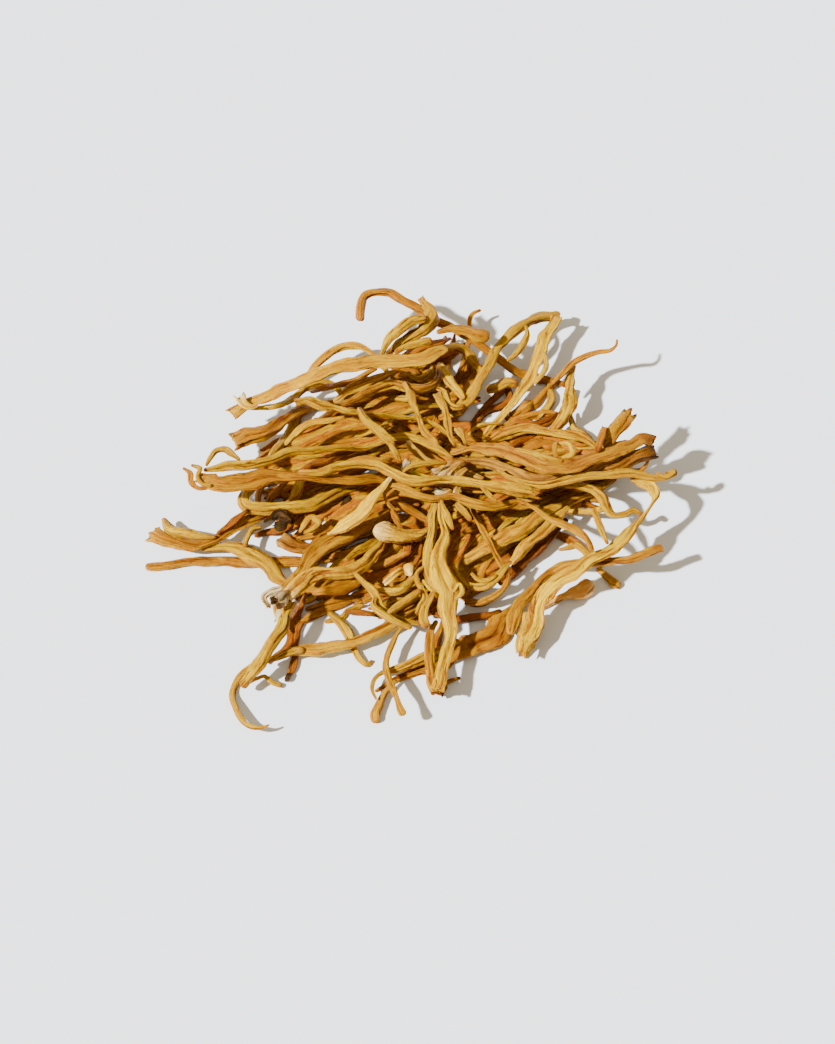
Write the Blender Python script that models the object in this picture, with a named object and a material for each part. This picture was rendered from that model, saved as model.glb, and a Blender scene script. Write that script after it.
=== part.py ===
"""Dried cordyceps: one matted tangle of long, thin, golden fruiting bodies, lying as it was put down.

Every stalk is a tapering tube or ribbon of its own. Its route is written as the picture shows it, seen
from VIEW_ELEVATION, and the stalks are then laid one on the other, from the lowest to the top one, so
that each rests on what lies below it. Run it with blender --background --python part.py.
"""

import math
from dataclasses import dataclass, field
from enum import Enum

import bpy
import numpy as np

METRES_PER_MM = 0.001

# The heap and the picture that its routes are read from
HEAP_WIDTH = 149.0  # mm, from the far left club to the knob at the right
PICTURE_LEFT = 145.0  # px, the far left club
PICTURE_RIGHT = 676.0  # px, the knob at the right
PICTURE_CENTRE = (417.5, 522.0)  # px
VIEW_ELEVATION = math.radians(55.0)
VIEW_DISTANCE = 900.0  # mm, from the eye to the table at the picture's centre
MM_PER_PIXEL = HEAP_WIDTH / (PICTURE_RIGHT - PICTURE_LEFT)
HEAP_CENTRE = (-1.66, 0.09)  # mm, the middle of the heap's box, which becomes the origin

# How the stalks lie
CLEARANCE = 0.35  # mm between one stalk and the next
BEND_RADIUS = 45.0  # mm, the tightest bend that a dried stalk takes over another
CELL = 0.5  # mm, the width of the small boxes in which the heap is kept
BOX_HEIGHT = 0.25  # mm
GRID_HALF_SPAN = 90.0  # mm
GRID_HEIGHT = 50.0  # mm
HIGHEST = 42.0  # mm, where a stalk starts on its way down
LOWERING_STEP = 0.25  # mm
SAMPLE_STEP = 0.4  # mm, along and across a stalk
LIFTING_PASSES = 24
REACH = 6.0  # mm, the most that one pass looks for room above a stalk

# Sections
SIDES = 8
CORNER_RADIUS = 1.04  # of the half width, so that the octagon has a circle's area
FLAT_HEIGHT = math.cos(math.pi / SIDES)  # of the corner radius, at the octagon's flat top and bottom
END_LENGTH = 0.45  # of the half width, how far a stalk's rounded end runs past its route
END_RADIUS = 0.58  # of the half width, at the end's face


class Form(Enum):
    """The section of a stalk, by its thickness over its width."""

    ROUND = 0.86
    FLATTENED = 0.66
    RIBBON = 0.36


@dataclass(frozen=True)
class Flesh:
    """The dried flesh of a stalk."""

    name: str
    colour: tuple[float, float, float]
    roughness: float


GOLDEN = Flesh("golden_flesh", (0.62, 0.36, 0.09), 0.58)
ORANGE = Flesh("deep_orange_flesh", (0.50, 0.20, 0.03), 0.55)
BROWN = Flesh("brown_flesh", (0.30, 0.13, 0.03), 0.60)
PALE = Flesh("pale_cream_flesh", (0.72, 0.52, 0.25), 0.65)
TAN = Flesh("grey_tan_flesh", (0.50, 0.36, 0.19), 0.70)


@dataclass(frozen=True)
class Stalk:
    """One fruiting body: its route in the picture as (x px, y px, width px), from its base to its tip.

    lift holds the least height in mm of some of its points, and roll the turn of its section in degrees
    at each point, or nothing where it lies flat.
    """

    name: str
    form: Form
    flesh: Flesh
    route: list[tuple[float, float, float]]
    lift: dict[int, float] = field(default_factory=dict)
    roll: list[float] = field(default_factory=list)


# From the lowest stalk to the top one
STALKS = [
    Stalk("front_floor_bundle", Form.RIBBON, ORANGE, [
        (376, 691, 5), (386, 685, 6), (397, 678, 7), (410, 673, 10), (430, 666, 13), (455, 655, 19),
        (475, 645, 21), (492, 632, 20), (505, 618, 14), (518, 603, 8)]),
    Stalk("forked_tip", Form.ROUND, ORANGE, [
        (396, 681, 5), (390, 688, 5), (384, 695, 5), (379, 704, 6), (375, 713, 8), (376, 721, 8)]),
    Stalk("front_floor_stalk", Form.ROUND, ORANGE, [
        (458, 641, 7), (440, 651, 9), (420, 658, 9), (405, 665, 8), (392, 671, 6), (381, 674, 4),
        (374, 681, 4), (372, 690, 4), (376, 699, 3)]),
    Stalk("far_left_stalk", Form.ROUND, ORANGE, [
        (147, 567, 8), (160, 566, 8), (180, 562, 8), (205, 562, 9), (235, 562, 9), (265, 562, 9),
        (290, 562, 9), (310, 562, 8), (335, 560, 7)]),
    Stalk("left_leaf_stalk", Form.RIBBON, GOLDEN, [
        (203, 549, 8), (225, 546, 12), (245, 552, 16), (262, 562, 18), (275, 573, 18), (287, 584, 12)]),
    Stalk("left_base_stalk", Form.RIBBON, GOLDEN, [
        (156, 535, 14), (172, 543, 13), (192, 545, 10), (212, 540, 8), (230, 530, 10), (246, 521, 13),
        (262, 515, 11), (277, 512, 8)]),
    Stalk("tail_hook_stalk", Form.ROUND, ORANGE, [
        (285, 617, 6), (275, 638, 7), (264, 653, 7), (252, 667, 6), (240, 679, 6), (233, 692, 6),
        (234, 705, 6), (240, 717, 6), (250, 726, 5), (260, 728, 4), (269, 725, 3)], lift={10: 4.0}),
    Stalk("low_right_club", Form.ROUND, PALE, [
        (541, 609, 4), (553, 602, 6), (567, 595, 8), (580, 590, 11), (591, 585, 12)]),
    Stalk("small_right_club", Form.ROUND, ORANGE, [
        (598, 569, 6), (605, 576, 7), (612, 582, 8), (619, 586, 7)]),
    Stalk("shaded_right_stalk", Form.ROUND, BROWN, [
        (530, 522, 6), (553, 533, 7), (568, 539, 7), (580, 547, 7), (588, 557, 6)]),
    Stalk("back_shaded_stalk", Form.ROUND, BROWN, [
        (508, 388, 6), (509, 398, 7), (500, 406, 7), (488, 411, 7), (478, 421, 7), (468, 431, 7),
        (455, 440, 7)]),
    Stalk("back_dark_stalk", Form.ROUND, BROWN, [
        (505, 432, 7), (520, 429, 8), (535, 426, 9), (548, 420, 8), (558, 415, 7)]),
    Stalk("brown_edge_stalk", Form.ROUND, BROWN, [
        (500, 583, 8), (513, 572, 10), (528, 560, 10), (541, 547, 10), (553, 533, 8), (566, 520, 7)]),
    Stalk("right_fan_stalk", Form.ROUND, GOLDEN, [
        (520, 535, 8), (540, 520, 9), (560, 506, 10), (580, 497, 10), (600, 487, 9), (615, 478, 7)]),
    Stalk("cross_stalk", Form.ROUND, GOLDEN, [
        (322, 608, 7), (334, 617, 8), (343, 627, 9), (351, 638, 9), (355, 649, 6), (360, 659, 5),
        (367, 665, 5), (372, 661, 4)]),
    Stalk("dark_tip_stalk", Form.ROUND, BROWN, [
        (312, 614, 5), (300, 625, 6), (296, 642, 6), (295, 657, 6), (291, 670, 6), (286, 681, 4)]),
    Stalk("pale_long_stalk", Form.ROUND, GOLDEN, [
        (288, 653, 8), (305, 651, 12), (325, 649, 12), (342, 645, 10), (358, 640, 9), (375, 634, 9),
        (390, 628, 9), (405, 620, 8), (420, 608, 8)]),
    Stalk("forked_twig", Form.ROUND, ORANGE, [
        (403, 626, 5), (395, 639, 5), (389, 652, 6), (386, 666, 6), (388, 678, 6), (393, 691, 6),
        (399, 704, 5), (403, 714, 7)], lift={7: 7.5}),
    Stalk("front_left_stalk", Form.ROUND, ORANGE, [
        (436, 690, 8), (432, 676, 8), (429, 660, 8), (428, 645, 8), (431, 632, 8), (436, 622, 7)],
        lift={0: 6.0}),
    Stalk("left_ring_stalk", Form.FLATTENED, BROWN, [
        (283, 541, 12), (295, 546, 12), (310, 547, 9), (322, 540, 7), (329, 528, 6), (326, 515, 5)]),
    Stalk("back_hook_stalk", Form.ROUND, ORANGE, [
        (360, 319, 8), (361, 306, 8), (366, 295, 8), (378, 291, 8), (390, 292, 8), (402, 300, 8),
        (416, 309, 8), (430, 318, 8), (450, 326, 8), (470, 337, 8), (490, 352, 8), (508, 367, 8),
        (525, 375, 8), (545, 379, 8), (565, 385, 7)],
        lift={0: 12.0, 1: 15.0, 2: 17.0, 3: 17.0, 4: 16.0}),
    Stalk("back_arch_stalk", Form.ROUND, GOLDEN, [
        (556, 316, 8), (543, 317, 9), (528, 321, 9), (514, 331, 9), (503, 343, 9), (494, 355, 9),
        (486, 368, 9), (478, 382, 9), (470, 395, 10), (460, 407, 12), (450, 414, 11), (440, 418, 8)],
        lift={0: 4.0}),
    Stalk("back_ribbon", Form.RIBBON, GOLDEN, [
        (556, 320, 10), (549, 334, 14), (541, 350, 13), (534, 365, 12), (528, 380, 11), (520, 393, 9),
        (510, 407, 8), (500, 419, 7), (490, 428, 7), (482, 438, 7), (473, 443, 6)]),
    Stalk("left_arch", Form.ROUND, GOLDEN, [
        (308, 374, 6), (318, 362, 6), (332, 352, 6), (345, 346, 6), (356, 346, 6), (366, 350, 6),
        (376, 358, 6)], lift={3: 8.0, 6: 9.0}),
    Stalk("left_hollow_base", Form.FLATTENED, ORANGE, [
        (237, 441, 12), (252, 436, 14), (270, 429, 11), (285, 420, 8), (299, 411, 8), (316, 405, 8),
        (334, 402, 7)], lift={0: 8.0}),
    Stalk("left_mid_ribbon", Form.RIBBON, GOLDEN, [
        (278, 470, 9), (292, 457, 10), (308, 442, 12), (327, 430, 13), (345, 419, 11), (362, 411, 8)]),
    Stalk("back_left_broad", Form.FLATTENED, GOLDEN, [
        (335, 401, 7), (350, 392, 9), (365, 384, 10), (380, 377, 9), (398, 370, 7)]),
    Stalk("back_mid_stalk", Form.ROUND, GOLDEN, [
        (335, 405, 6), (352, 400, 7), (368, 393, 8), (382, 387, 8), (395, 384, 8), (410, 387, 8),
        (423, 388, 8), (434, 384, 7), (440, 375, 6), (438, 366, 5)]),
    Stalk("back_pale_base", Form.ROUND, TAN, [
        (422, 300, 6), (428, 310, 11), (431, 320, 13), (425, 330, 11), (411, 337, 10), (398, 345, 9),
        (388, 353, 7)]),
    Stalk("back_inner_stalk", Form.ROUND, GOLDEN, [
        (424, 318, 8), (412, 322, 9), (400, 330, 9), (390, 338, 8), (384, 348, 7), (380, 358, 6)]),
    Stalk("back_club_stalk", Form.ROUND, ORANGE, [
        (438, 332, 7), (452, 330, 8), (466, 331, 10), (478, 334, 12), (487, 337, 11)],
        lift={0: 10.0, 4: 8.0}),
    Stalk("top_left_ribbon", Form.RIBBON, GOLDEN, [
        (234, 413, 9), (250, 402, 9), (275, 394, 10), (300, 381, 11), (325, 371, 11), (350, 366, 12),
        (380, 362, 13), (410, 359, 13), (432, 355, 12), (445, 348, 8)], lift={0: 12.0, 1: 12.0}),
    Stalk("right_vertical_stalk", Form.ROUND, GOLDEN, [
        (574, 366, 5), (571, 378, 8), (570, 392, 8), (570, 405, 11), (565, 417, 10), (557, 428, 9)],
        lift={0: 10.0}),
    Stalk("right_whip_stalk", Form.ROUND, ORANGE, [
        (617, 340, 3), (616, 345, 3), (611, 350, 4), (598, 353, 5), (585, 357, 6), (575, 362, 6),
        (565, 371, 6), (555, 381, 5), (550, 387, 4)], lift={0: 15.0, 5: 11.0}),
    Stalk("right_yellow_stalk", Form.ROUND, GOLDEN, [
        (484, 445, 6), (498, 437, 9), (512, 431, 10), (527, 429, 9), (545, 431, 7), (562, 433, 8),
        (578, 436, 9), (595, 446, 6)]),
    Stalk("right_short_base", Form.ROUND, ORANGE, [
        (627, 416, 9), (619, 425, 13), (611, 436, 12), (604, 447, 9)], lift={0: 19.0}),
    Stalk("right_dark_base", Form.ROUND, BROWN, [
        (651, 452, 11), (638, 458, 13), (624, 464, 13), (610, 469, 10), (595, 474, 8)], lift={0: 16.0}),
    Stalk("inner_right_curl", Form.ROUND, GOLDEN, [
        (565, 485, 6), (580, 486, 7), (593, 489, 8), (602, 497, 9), (607, 507, 8), (613, 514, 6),
        (624, 514, 6), (634, 511, 7), (641, 514, 6)]),
    Stalk("u_bend_stalk", Form.ROUND, GOLDEN, [
        (253, 489, 8), (244, 495, 9), (245, 505, 10), (258, 509, 10), (285, 507, 10), (310, 504, 10),
        (330, 498, 9), (347, 489, 8), (365, 487, 7), (385, 487, 6)]),
    Stalk("fan_stalk_blunt", Form.ROUND, GOLDEN, [
        (464, 562, 8), (480, 553, 9), (496, 543, 11), (515, 533, 12), (530, 522, 11), (545, 513, 10),
        (560, 505, 8)]),
    Stalk("fan_stalk_bright", Form.ROUND, GOLDEN, [
        (512, 563, 6), (522, 552, 9), (533, 541, 9), (544, 530, 9), (555, 520, 9), (568, 508, 7)]),
    Stalk("side_ribbon", Form.FLATTENED, GOLDEN, [
        (511, 633, 7), (515, 620, 11), (522, 604, 11), (531, 591, 9), (541, 580, 9), (553, 571, 9),
        (568, 565, 9), (585, 563, 8), (600, 563, 8), (616, 560, 8), (630, 559, 8), (645, 554, 8),
        (660, 548, 7)], lift={12: 13.0}),
    Stalk("diagonal_stalk_left", Form.ROUND, GOLDEN, [
        (282, 590, 7), (295, 578, 8), (303, 567, 8), (309, 554, 9), (320, 543, 8), (333, 535, 7),
        (348, 527, 6)]),
    Stalk("diagonal_stalk_right", Form.ROUND, GOLDEN, [
        (298, 582, 6), (312, 562, 8), (325, 547, 10), (345, 538, 10), (362, 529, 10), (378, 520, 8),
        (390, 512, 7)]),
    Stalk("thick_pale_stalk", Form.ROUND, PALE, [
        (287, 597, 11), (300, 586, 12), (315, 577, 12), (335, 573, 11), (352, 570, 11), (366, 562, 11),
        (376, 552, 11), (383, 541, 9)], lift={0: 10.0}),
    Stalk("pale_club_base", Form.FLATTENED, PALE, [
        (377, 530, 16), (388, 533, 19), (402, 535, 17), (418, 533, 14), (434, 529, 12)]),
    Stalk("lower_left_stalk", Form.ROUND, GOLDEN, [
        (290, 606, 9), (281, 628, 11), (272, 642, 11), (264, 655, 11), (257, 667, 10), (250, 677, 8),
        (243, 686, 8)]),
    Stalk("beside_front_ribbon", Form.ROUND, GOLDEN, [
        (436, 500, 6), (434, 515, 8), (433, 530, 8), (429, 545, 8), (426, 560, 8), (428, 573, 8),
        (433, 587, 8), (437, 597, 6)]),
    Stalk("front_ribbon", Form.RIBBON, GOLDEN, [
        (440, 503, 5), (441, 516, 6), (444, 531, 7), (441, 550, 12), (441, 568, 16), (445, 588, 20),
        (447, 602, 17), (449, 620, 12), (451, 640, 10), (447, 656, 9), (442, 670, 9), (437, 688, 9)],
        lift={11: 6.0}),
    Stalk("twisted_right_ribbon", Form.RIBBON, GOLDEN, [
        (632, 478, 7), (640, 482, 8), (650, 486, 10), (655, 495, 9), (651, 505, 7), (643, 516, 8),
        (632, 530, 12), (620, 542, 12), (604, 553, 12), (588, 561, 12), (573, 573, 14), (558, 583, 13),
        (545, 594, 12), (537, 606, 10), (533, 620, 12), (530, 636, 14), (523, 652, 6)],
        lift={2: 14.0, 3: 14.0, 16: 6.0},
        roll=[0, 10, 25, 50, 70, 60, 40, 30, 25, 20, 15, 10, 10, 5, 0, 0, 0]),
    Stalk("thin_diagonal_stalk", Form.ROUND, GOLDEN, [
        (470, 504, 5), (476, 516, 6), (483, 531, 6), (491, 546, 6), (500, 563, 6), (508, 577, 6),
        (505, 587, 6), (496, 596, 7), (482, 602, 8), (466, 603, 7)]),
    Stalk("knobbly_long_stalk", Form.ROUND, GOLDEN, [
        (297, 402, 7), (310, 400, 8), (322, 405, 9), (333, 407, 7), (345, 411, 7), (370, 414, 7),
        (400, 417, 7), (420, 419, 7), (437, 426, 7), (450, 438, 6), (458, 448, 5)]),
    Stalk("long_top_stalk", Form.ROUND, GOLDEN, [
        (205, 470, 7), (225, 467, 11), (250, 464, 10), (270, 459, 9), (290, 452, 9), (315, 450, 8),
        (340, 448, 7), (365, 447, 7), (385, 441, 8), (405, 437, 9), (425, 442, 9), (440, 450, 9),
        (452, 458, 7)], lift={0: 16.0, 1: 16.0}),
    Stalk("broad_left_ribbon", Form.RIBBON, ORANGE, [
        (200, 478, 8), (215, 483, 15), (235, 481, 17), (258, 478, 15), (280, 477, 9), (300, 476, 8),
        (325, 478, 8), (350, 479, 9), (370, 480, 10), (388, 481, 7)], lift={0: 16.0, 1: 16.0}),
    Stalk("grey_base_stalk", Form.FLATTENED, TAN, [
        (447, 474, 12), (455, 465, 14), (468, 462, 10), (485, 463, 10), (500, 468, 10), (515, 474, 11),
        (532, 478, 11), (550, 477, 9), (566, 474, 7)]),
    Stalk("long_right_stalk", Form.ROUND, GOLDEN, [
        (498, 470, 5), (512, 478, 6), (530, 484, 7), (548, 485, 8), (565, 481, 8), (585, 477, 8),
        (605, 474, 8), (625, 473, 9), (640, 475, 8), (652, 478, 6), (663, 478, 6), (675, 472, 8)],
        lift={11: 14.0}),
    Stalk("big_right_stalk", Form.FLATTENED, GOLDEN, [
        (452, 453, 8), (465, 449, 9), (480, 448, 11), (495, 450, 12), (510, 454, 12), (525, 459, 12),
        (540, 464, 13), (555, 468, 14), (570, 468, 14), (585, 463, 13), (600, 456, 12), (615, 451, 11),
        (630, 445, 11), (641, 438, 11), (651, 441, 10)], lift={14: 17.0}),
    Stalk("long_loop_stalk", Form.ROUND, GOLDEN, [
        (396, 512, 4), (388, 503, 4), (385, 494, 4), (391, 487, 6), (405, 489, 8), (420, 495, 8),
        (437, 498, 8), (453, 497, 8), (468, 502, 9), (485, 506, 10), (503, 505, 9), (520, 502, 6),
        (533, 507, 5), (547, 518, 6), (562, 524, 7), (577, 530, 8), (587, 540, 8), (592, 550, 7)]),
    Stalk("pale_leaf", Form.RIBBON, PALE, [
        (390, 478, 6), (380, 490, 8), (370, 502, 10), (360, 513, 13), (350, 522, 14), (338, 530, 10),
        (328, 534, 4)]),
    Stalk("long_middle_stalk", Form.ROUND, GOLDEN, [
        (300, 472, 7), (320, 472, 8), (340, 467, 8), (360, 464, 8), (378, 465, 9), (392, 472, 9),
        (403, 478, 9), (420, 481, 9), (450, 481, 9), (480, 483, 9), (500, 487, 12), (520, 491, 14),
        (536, 494, 10)]),
]


def table_points(pixels: np.ndarray, heights: np.ndarray) -> np.ndarray:
    """The points in mm, at these heights over the table, that the picture shows at these pixels."""
    eye = VIEW_DISTANCE * np.array([0.0, -math.cos(VIEW_ELEVATION), math.sin(VIEW_ELEVATION)])
    forward = -eye / VIEW_DISTANCE
    right = np.array([1.0, 0.0, 0.0])
    up = np.array([0.0, math.sin(VIEW_ELEVATION), math.cos(VIEW_ELEVATION)])
    focal_length = VIEW_DISTANCE / MM_PER_PIXEL
    across = pixels[:, 0] - PICTURE_CENTRE[0]
    upward = PICTURE_CENTRE[1] - pixels[:, 1]
    rays = focal_length * forward + across[:, None] * right + upward[:, None] * up
    reach = (heights - eye[2]) / rays[:, 2]
    return eye + reach[:, None] * rays


class Heap:
    """The space that the laid stalks fill, kept as small boxes, with the clearance round each stalk."""

    def __init__(self) -> None:
        """Start with the bare table."""
        self.cells_across = int(2 * GRID_HALF_SPAN / CELL)
        self.boxes_up = int(GRID_HEIGHT / BOX_HEIGHT)
        self.full_below = np.zeros((self.cells_across, self.cells_across, self.boxes_up + 1), dtype=np.int16)

    def cell_of(self, places: np.ndarray) -> tuple[np.ndarray, np.ndarray]:
        """The grid's row and column under each place in mm."""
        cells = np.clip(((places + GRID_HALF_SPAN) / CELL).astype(int), 1, self.cells_across - 2)
        return cells[..., 0], cells[..., 1]

    def levels(self, low: np.ndarray, high: np.ndarray) -> tuple[np.ndarray, np.ndarray]:
        """The first box from each low height, and the one past each high height."""
        first = np.clip(np.floor(low / BOX_HEIGHT).astype(int), 0, self.boxes_up)
        last = np.clip(np.ceil(high / BOX_HEIGHT).astype(int), 0, self.boxes_up)
        return first, last

    def meets(self, places: np.ndarray, low: np.ndarray, high: np.ndarray) -> np.ndarray:
        """Whether a laid stalk is in the way from low to high at each place."""
        column, row = self.cell_of(places)
        first, last = self.levels(low, high)
        return self.full_below[column, row, last] > self.full_below[column, row, first]

    def fill(self, places: np.ndarray, low: np.ndarray, high: np.ndarray) -> None:
        """Fill the boxes from low to high, with the clearance, at each place and round it."""
        column, row = self.cell_of(places)
        first, last = self.levels(low - CLEARANCE, high + CLEARANCE)
        steps = (-1, 0, 1)
        columns = np.concatenate([(column + i).ravel() for i in steps for _ in steps])
        rows = np.concatenate([(row + j).ravel() for _ in steps for j in steps])
        firsts = np.tile(first.ravel(), 9)
        lasts = np.tile(last.ravel(), 9)
        edges = np.unique(np.stack([columns, rows], axis=1), axis=0, return_inverse=True)
        cells, cell_index = edges[0], edges[1].ravel()
        change = np.zeros((len(cells), self.boxes_up + 1), dtype=int)
        np.add.at(change, (cell_index, firsts), 1)
        np.add.at(change, (cell_index, lasts), -1)
        newly_full = np.cumsum(change, axis=1)[:, :-1] > 0
        were_full = np.diff(self.full_below[cells[:, 0], cells[:, 1]], axis=1) > 0
        counts = np.cumsum(newly_full | were_full, axis=1)
        self.full_below[cells[:, 0], cells[:, 1], 1:] = counts


class StalkSamples:
    """Close samples along and across a stalk that runs straight from one ring to the next."""

    def __init__(self, rings: np.ndarray, half_widths: np.ndarray, half_heights: np.ndarray) -> None:
        """Sample the stalk with these rings (mm) and half sizes, level and upright, at each ring."""
        steps = np.diff(rings[:, :2], axis=0)
        lengths = np.maximum(np.hypot(steps[:, 0], steps[:, 1]), 1e-6)
        self.ring_run = np.concatenate([[0.0], np.cumsum(lengths)])
        count = max(int(self.ring_run[-1] / SAMPLE_STEP), len(rings)) + 1
        self.run = np.linspace(0.0, self.ring_run[-1], count)
        self.segment = np.clip(np.searchsorted(self.ring_run, self.run, side="right") - 1, 0, len(steps) - 1)
        self.middle = np.stack([self.between(rings[:, axis]) for axis in range(2)], axis=1)
        rise = np.abs(np.diff(rings[:, 2])) / lengths
        steepness = np.sqrt(1.0 + rise[self.segment] ** 2)
        self.half_width = self.between(half_widths) + CELL / 2
        self.half_height = self.between(half_heights) * steepness
        heading = (steps / lengths[:, None])[self.segment]
        sideways = np.stack([-heading[:, 1], heading[:, 0]], axis=1)
        offsets = np.linspace(-1.0, 1.0, int(2 * self.half_width.max() / SAMPLE_STEP) + 3)
        spread = offsets[None, :] * self.half_width[:, None]
        self.places = self.middle[:, None, :] + spread[..., None] * sideways[:, None, :]
        self.bulge = self.half_height[:, None] * np.sqrt(1.0 - offsets[None, :] ** 2)

    def between(self, ring_values: np.ndarray) -> np.ndarray:
        """Values at the samples, on straight lines between the rings."""
        return np.interp(self.run, self.ring_run, ring_values)


def stiff_line(run: np.ndarray, least: np.ndarray) -> np.ndarray:
    """A line over these least heights that sags no more sharply than a dried stalk bends."""
    apart = run[:, None] - run[None, :]
    return np.max(least[None, :] - apart**2 / (2.0 * BEND_RADIUS), axis=1)


def closed_in(values: np.ndarray, start: float, end: float) -> np.ndarray:
    """Ring values with one more at each end."""
    return np.concatenate([[start], values, [end]])


class LaidStalk:
    """A stalk on its way down onto the heap: the place, height, size and roll of each of its rings."""

    def __init__(self, stalk: Stalk) -> None:
        """Read the route, and add a ring past each end for the rounded tip."""
        route = np.array(stalk.route, dtype=float)
        count = len(route)
        pixels = route[:, :2]
        half = route[:, 2] / 2.0
        first_way = (pixels[0] - pixels[1]) / np.linalg.norm(pixels[0] - pixels[1])
        last_way = (pixels[-1] - pixels[-2]) / np.linalg.norm(pixels[-1] - pixels[-2])
        first = pixels[0] + first_way * half[0] * END_LENGTH
        last = pixels[-1] + last_way * half[-1] * END_LENGTH
        self.pixels = np.vstack([first, pixels, last])
        self.half_pixels = closed_in(half, half[0] * END_RADIUS, half[-1] * END_RADIUS)
        roll = np.radians(stalk.roll if stalk.roll else np.zeros(count))
        self.roll = closed_in(roll, roll[0], roll[-1])
        self.lift = np.zeros(count + 2)
        for index, height in stalk.lift.items():
            self.lift[index + 1] = height
        if 0 in stalk.lift:
            self.lift[0] = stalk.lift[0]
        if count - 1 in stalk.lift:
            self.lift[-1] = stalk.lift[count - 1]
        self.thickness = stalk.form.value
        level = np.diff(table_points(self.pixels, np.zeros(count + 2)), axis=0)
        self.level_run = np.concatenate([[0.0], np.cumsum(np.linalg.norm(level, axis=1))])
        self.heights = np.full(count + 2, 1.0)
        self.update_places()

    def update_places(self) -> None:
        """Put each ring where the picture shows it, at its present height, and size it there."""
        self.rings = table_points(self.pixels, self.heights)
        self.update_sizes()

    def update_sizes(self) -> None:
        """Work out each ring's real half width, and how wide and high it stands once rolled."""
        eye_height = VIEW_DISTANCE * math.sin(VIEW_ELEVATION)
        eye_back = VIEW_DISTANCE * math.cos(VIEW_ELEVATION)
        depth = (self.rings[:, 1] + eye_back) * math.cos(VIEW_ELEVATION)
        depth += (eye_height - self.rings[:, 2]) * math.sin(VIEW_ELEVATION)
        self.half_width = self.half_pixels * MM_PER_PIXEL * depth / VIEW_DISTANCE
        wide = self.half_width * CORNER_RADIUS
        thick = wide * self.thickness
        self.level = np.hypot(wide * np.cos(self.roll), thick * np.sin(self.roll))
        self.upright = np.hypot(wide * np.sin(self.roll), thick * np.cos(self.roll))
        self.upright[self.roll == 0.0] *= FLAT_HEIGHT

    def worst_beside(self, samples: StalkSamples, values: np.ndarray) -> np.ndarray:
        """The greatest of the samples' values on the runs beside each ring."""
        worst = np.zeros(len(self.heights) - 1)
        np.maximum.at(worst, samples.segment, values)
        return np.maximum(np.append(worst, 0.0), np.append(0.0, worst))

    def lowered(self, heap: Heap) -> np.ndarray:
        """How high each ring stops when it comes down along the picture's line of sight."""
        stops = np.zeros(len(self.heights))
        for height in np.arange(HIGHEST, 0.0, -LOWERING_STEP):
            rings = table_points(self.pixels, np.full(len(self.heights), height))
            samples = StalkSamples(rings, self.level, self.upright)
            meets = heap.meets(samples.places, height - samples.bulge, height + samples.bulge).any(axis=1)
            here = self.worst_beside(samples, meets.astype(float)) > 0.0
            stops = np.where((stops == 0.0) & here, height + LOWERING_STEP, stops)
        on_table = self.worst_beside(samples, samples.half_height)
        return np.maximum(stops, on_table)

    def missing_heights(self, heap: Heap) -> np.ndarray:
        """How much each ring must rise for the straight runs beside it to clear the heap."""
        samples = StalkSamples(self.rings, self.level, self.upright)
        middle = samples.between(self.heights)
        rise = np.zeros(len(samples.run))
        for step in np.arange(REACH, 0.0, -BOX_HEIGHT) - BOX_HEIGHT:
            low = (middle + step)[:, None] - samples.bulge
            meets = heap.meets(samples.places, low, low + 2.0 * samples.bulge).any(axis=1)
            rise = np.where((rise == 0.0) & meets, step + BOX_HEIGHT, rise)
        return self.worst_beside(samples, np.maximum(rise, samples.half_height - middle))

    def lay(self, heap: Heap) -> None:
        """Lay the stalk on the heap, and fill the heap where it lies."""
        least = np.maximum(self.lowered(heap), self.lift)
        self.heights = stiff_line(self.level_run, least)
        self.update_places()
        for _ in range(LIFTING_PASSES):
            missing = self.missing_heights(heap)
            if missing.max() < 0.001:
                break
            self.heights = stiff_line(self.level_run, self.heights + missing)
            self.update_places()
        samples = StalkSamples(self.rings, self.level, self.upright)
        low = samples.between(self.heights)[:, None] - samples.bulge
        heap.fill(samples.places, low, low + 2.0 * samples.bulge)


def remove_scene_objects() -> None:
    """Start from an empty scene."""
    for thing in list(bpy.data.objects):
        bpy.data.objects.remove(thing, do_unlink=True)


def new_collection(name: str) -> bpy.types.Collection:
    """Make a collection in the scene."""
    collection = bpy.data.collections.new(name)
    bpy.context.scene.collection.children.link(collection)
    return collection


def flesh_material(flesh: Flesh) -> bpy.types.Material:
    """The material of one kind of flesh, made once."""
    material = bpy.data.materials.get(flesh.name)
    if material:
        return material
    material = bpy.data.materials.new(flesh.name)
    material.use_nodes = True
    surface = material.node_tree.nodes["Principled BSDF"]
    surface.inputs["Base Color"].default_value = (*flesh.colour, 1.0)
    surface.inputs["Roughness"].default_value = flesh.roughness
    surface.inputs["Metallic"].default_value = 0.0
    return material


def section_guide(form: Form, guides: bpy.types.Collection) -> bpy.types.Object:
    """A hidden closed outline, half a unit thick by its form, that a stalk is swept with."""
    outline = bpy.data.curves.new(f"{form.name.lower()}_section", "CURVE")
    outline.dimensions = "2D"
    spline = outline.splines.new("POLY")
    spline.points.add(SIDES - 1)
    for index, point in enumerate(spline.points):
        angle = -2.0 * math.pi * (index + 0.5) / SIDES
        across = CORNER_RADIUS * math.cos(angle)
        upward = CORNER_RADIUS * math.sin(angle) * form.value
        point.co = (across, upward, 0.0, 1.0)
    spline.use_cyclic_u = True
    guide = bpy.data.objects.new(outline.name, outline)
    guide.hide_render = True
    guide.display_type = "WIRE"
    guides.objects.link(guide)
    return guide


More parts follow.
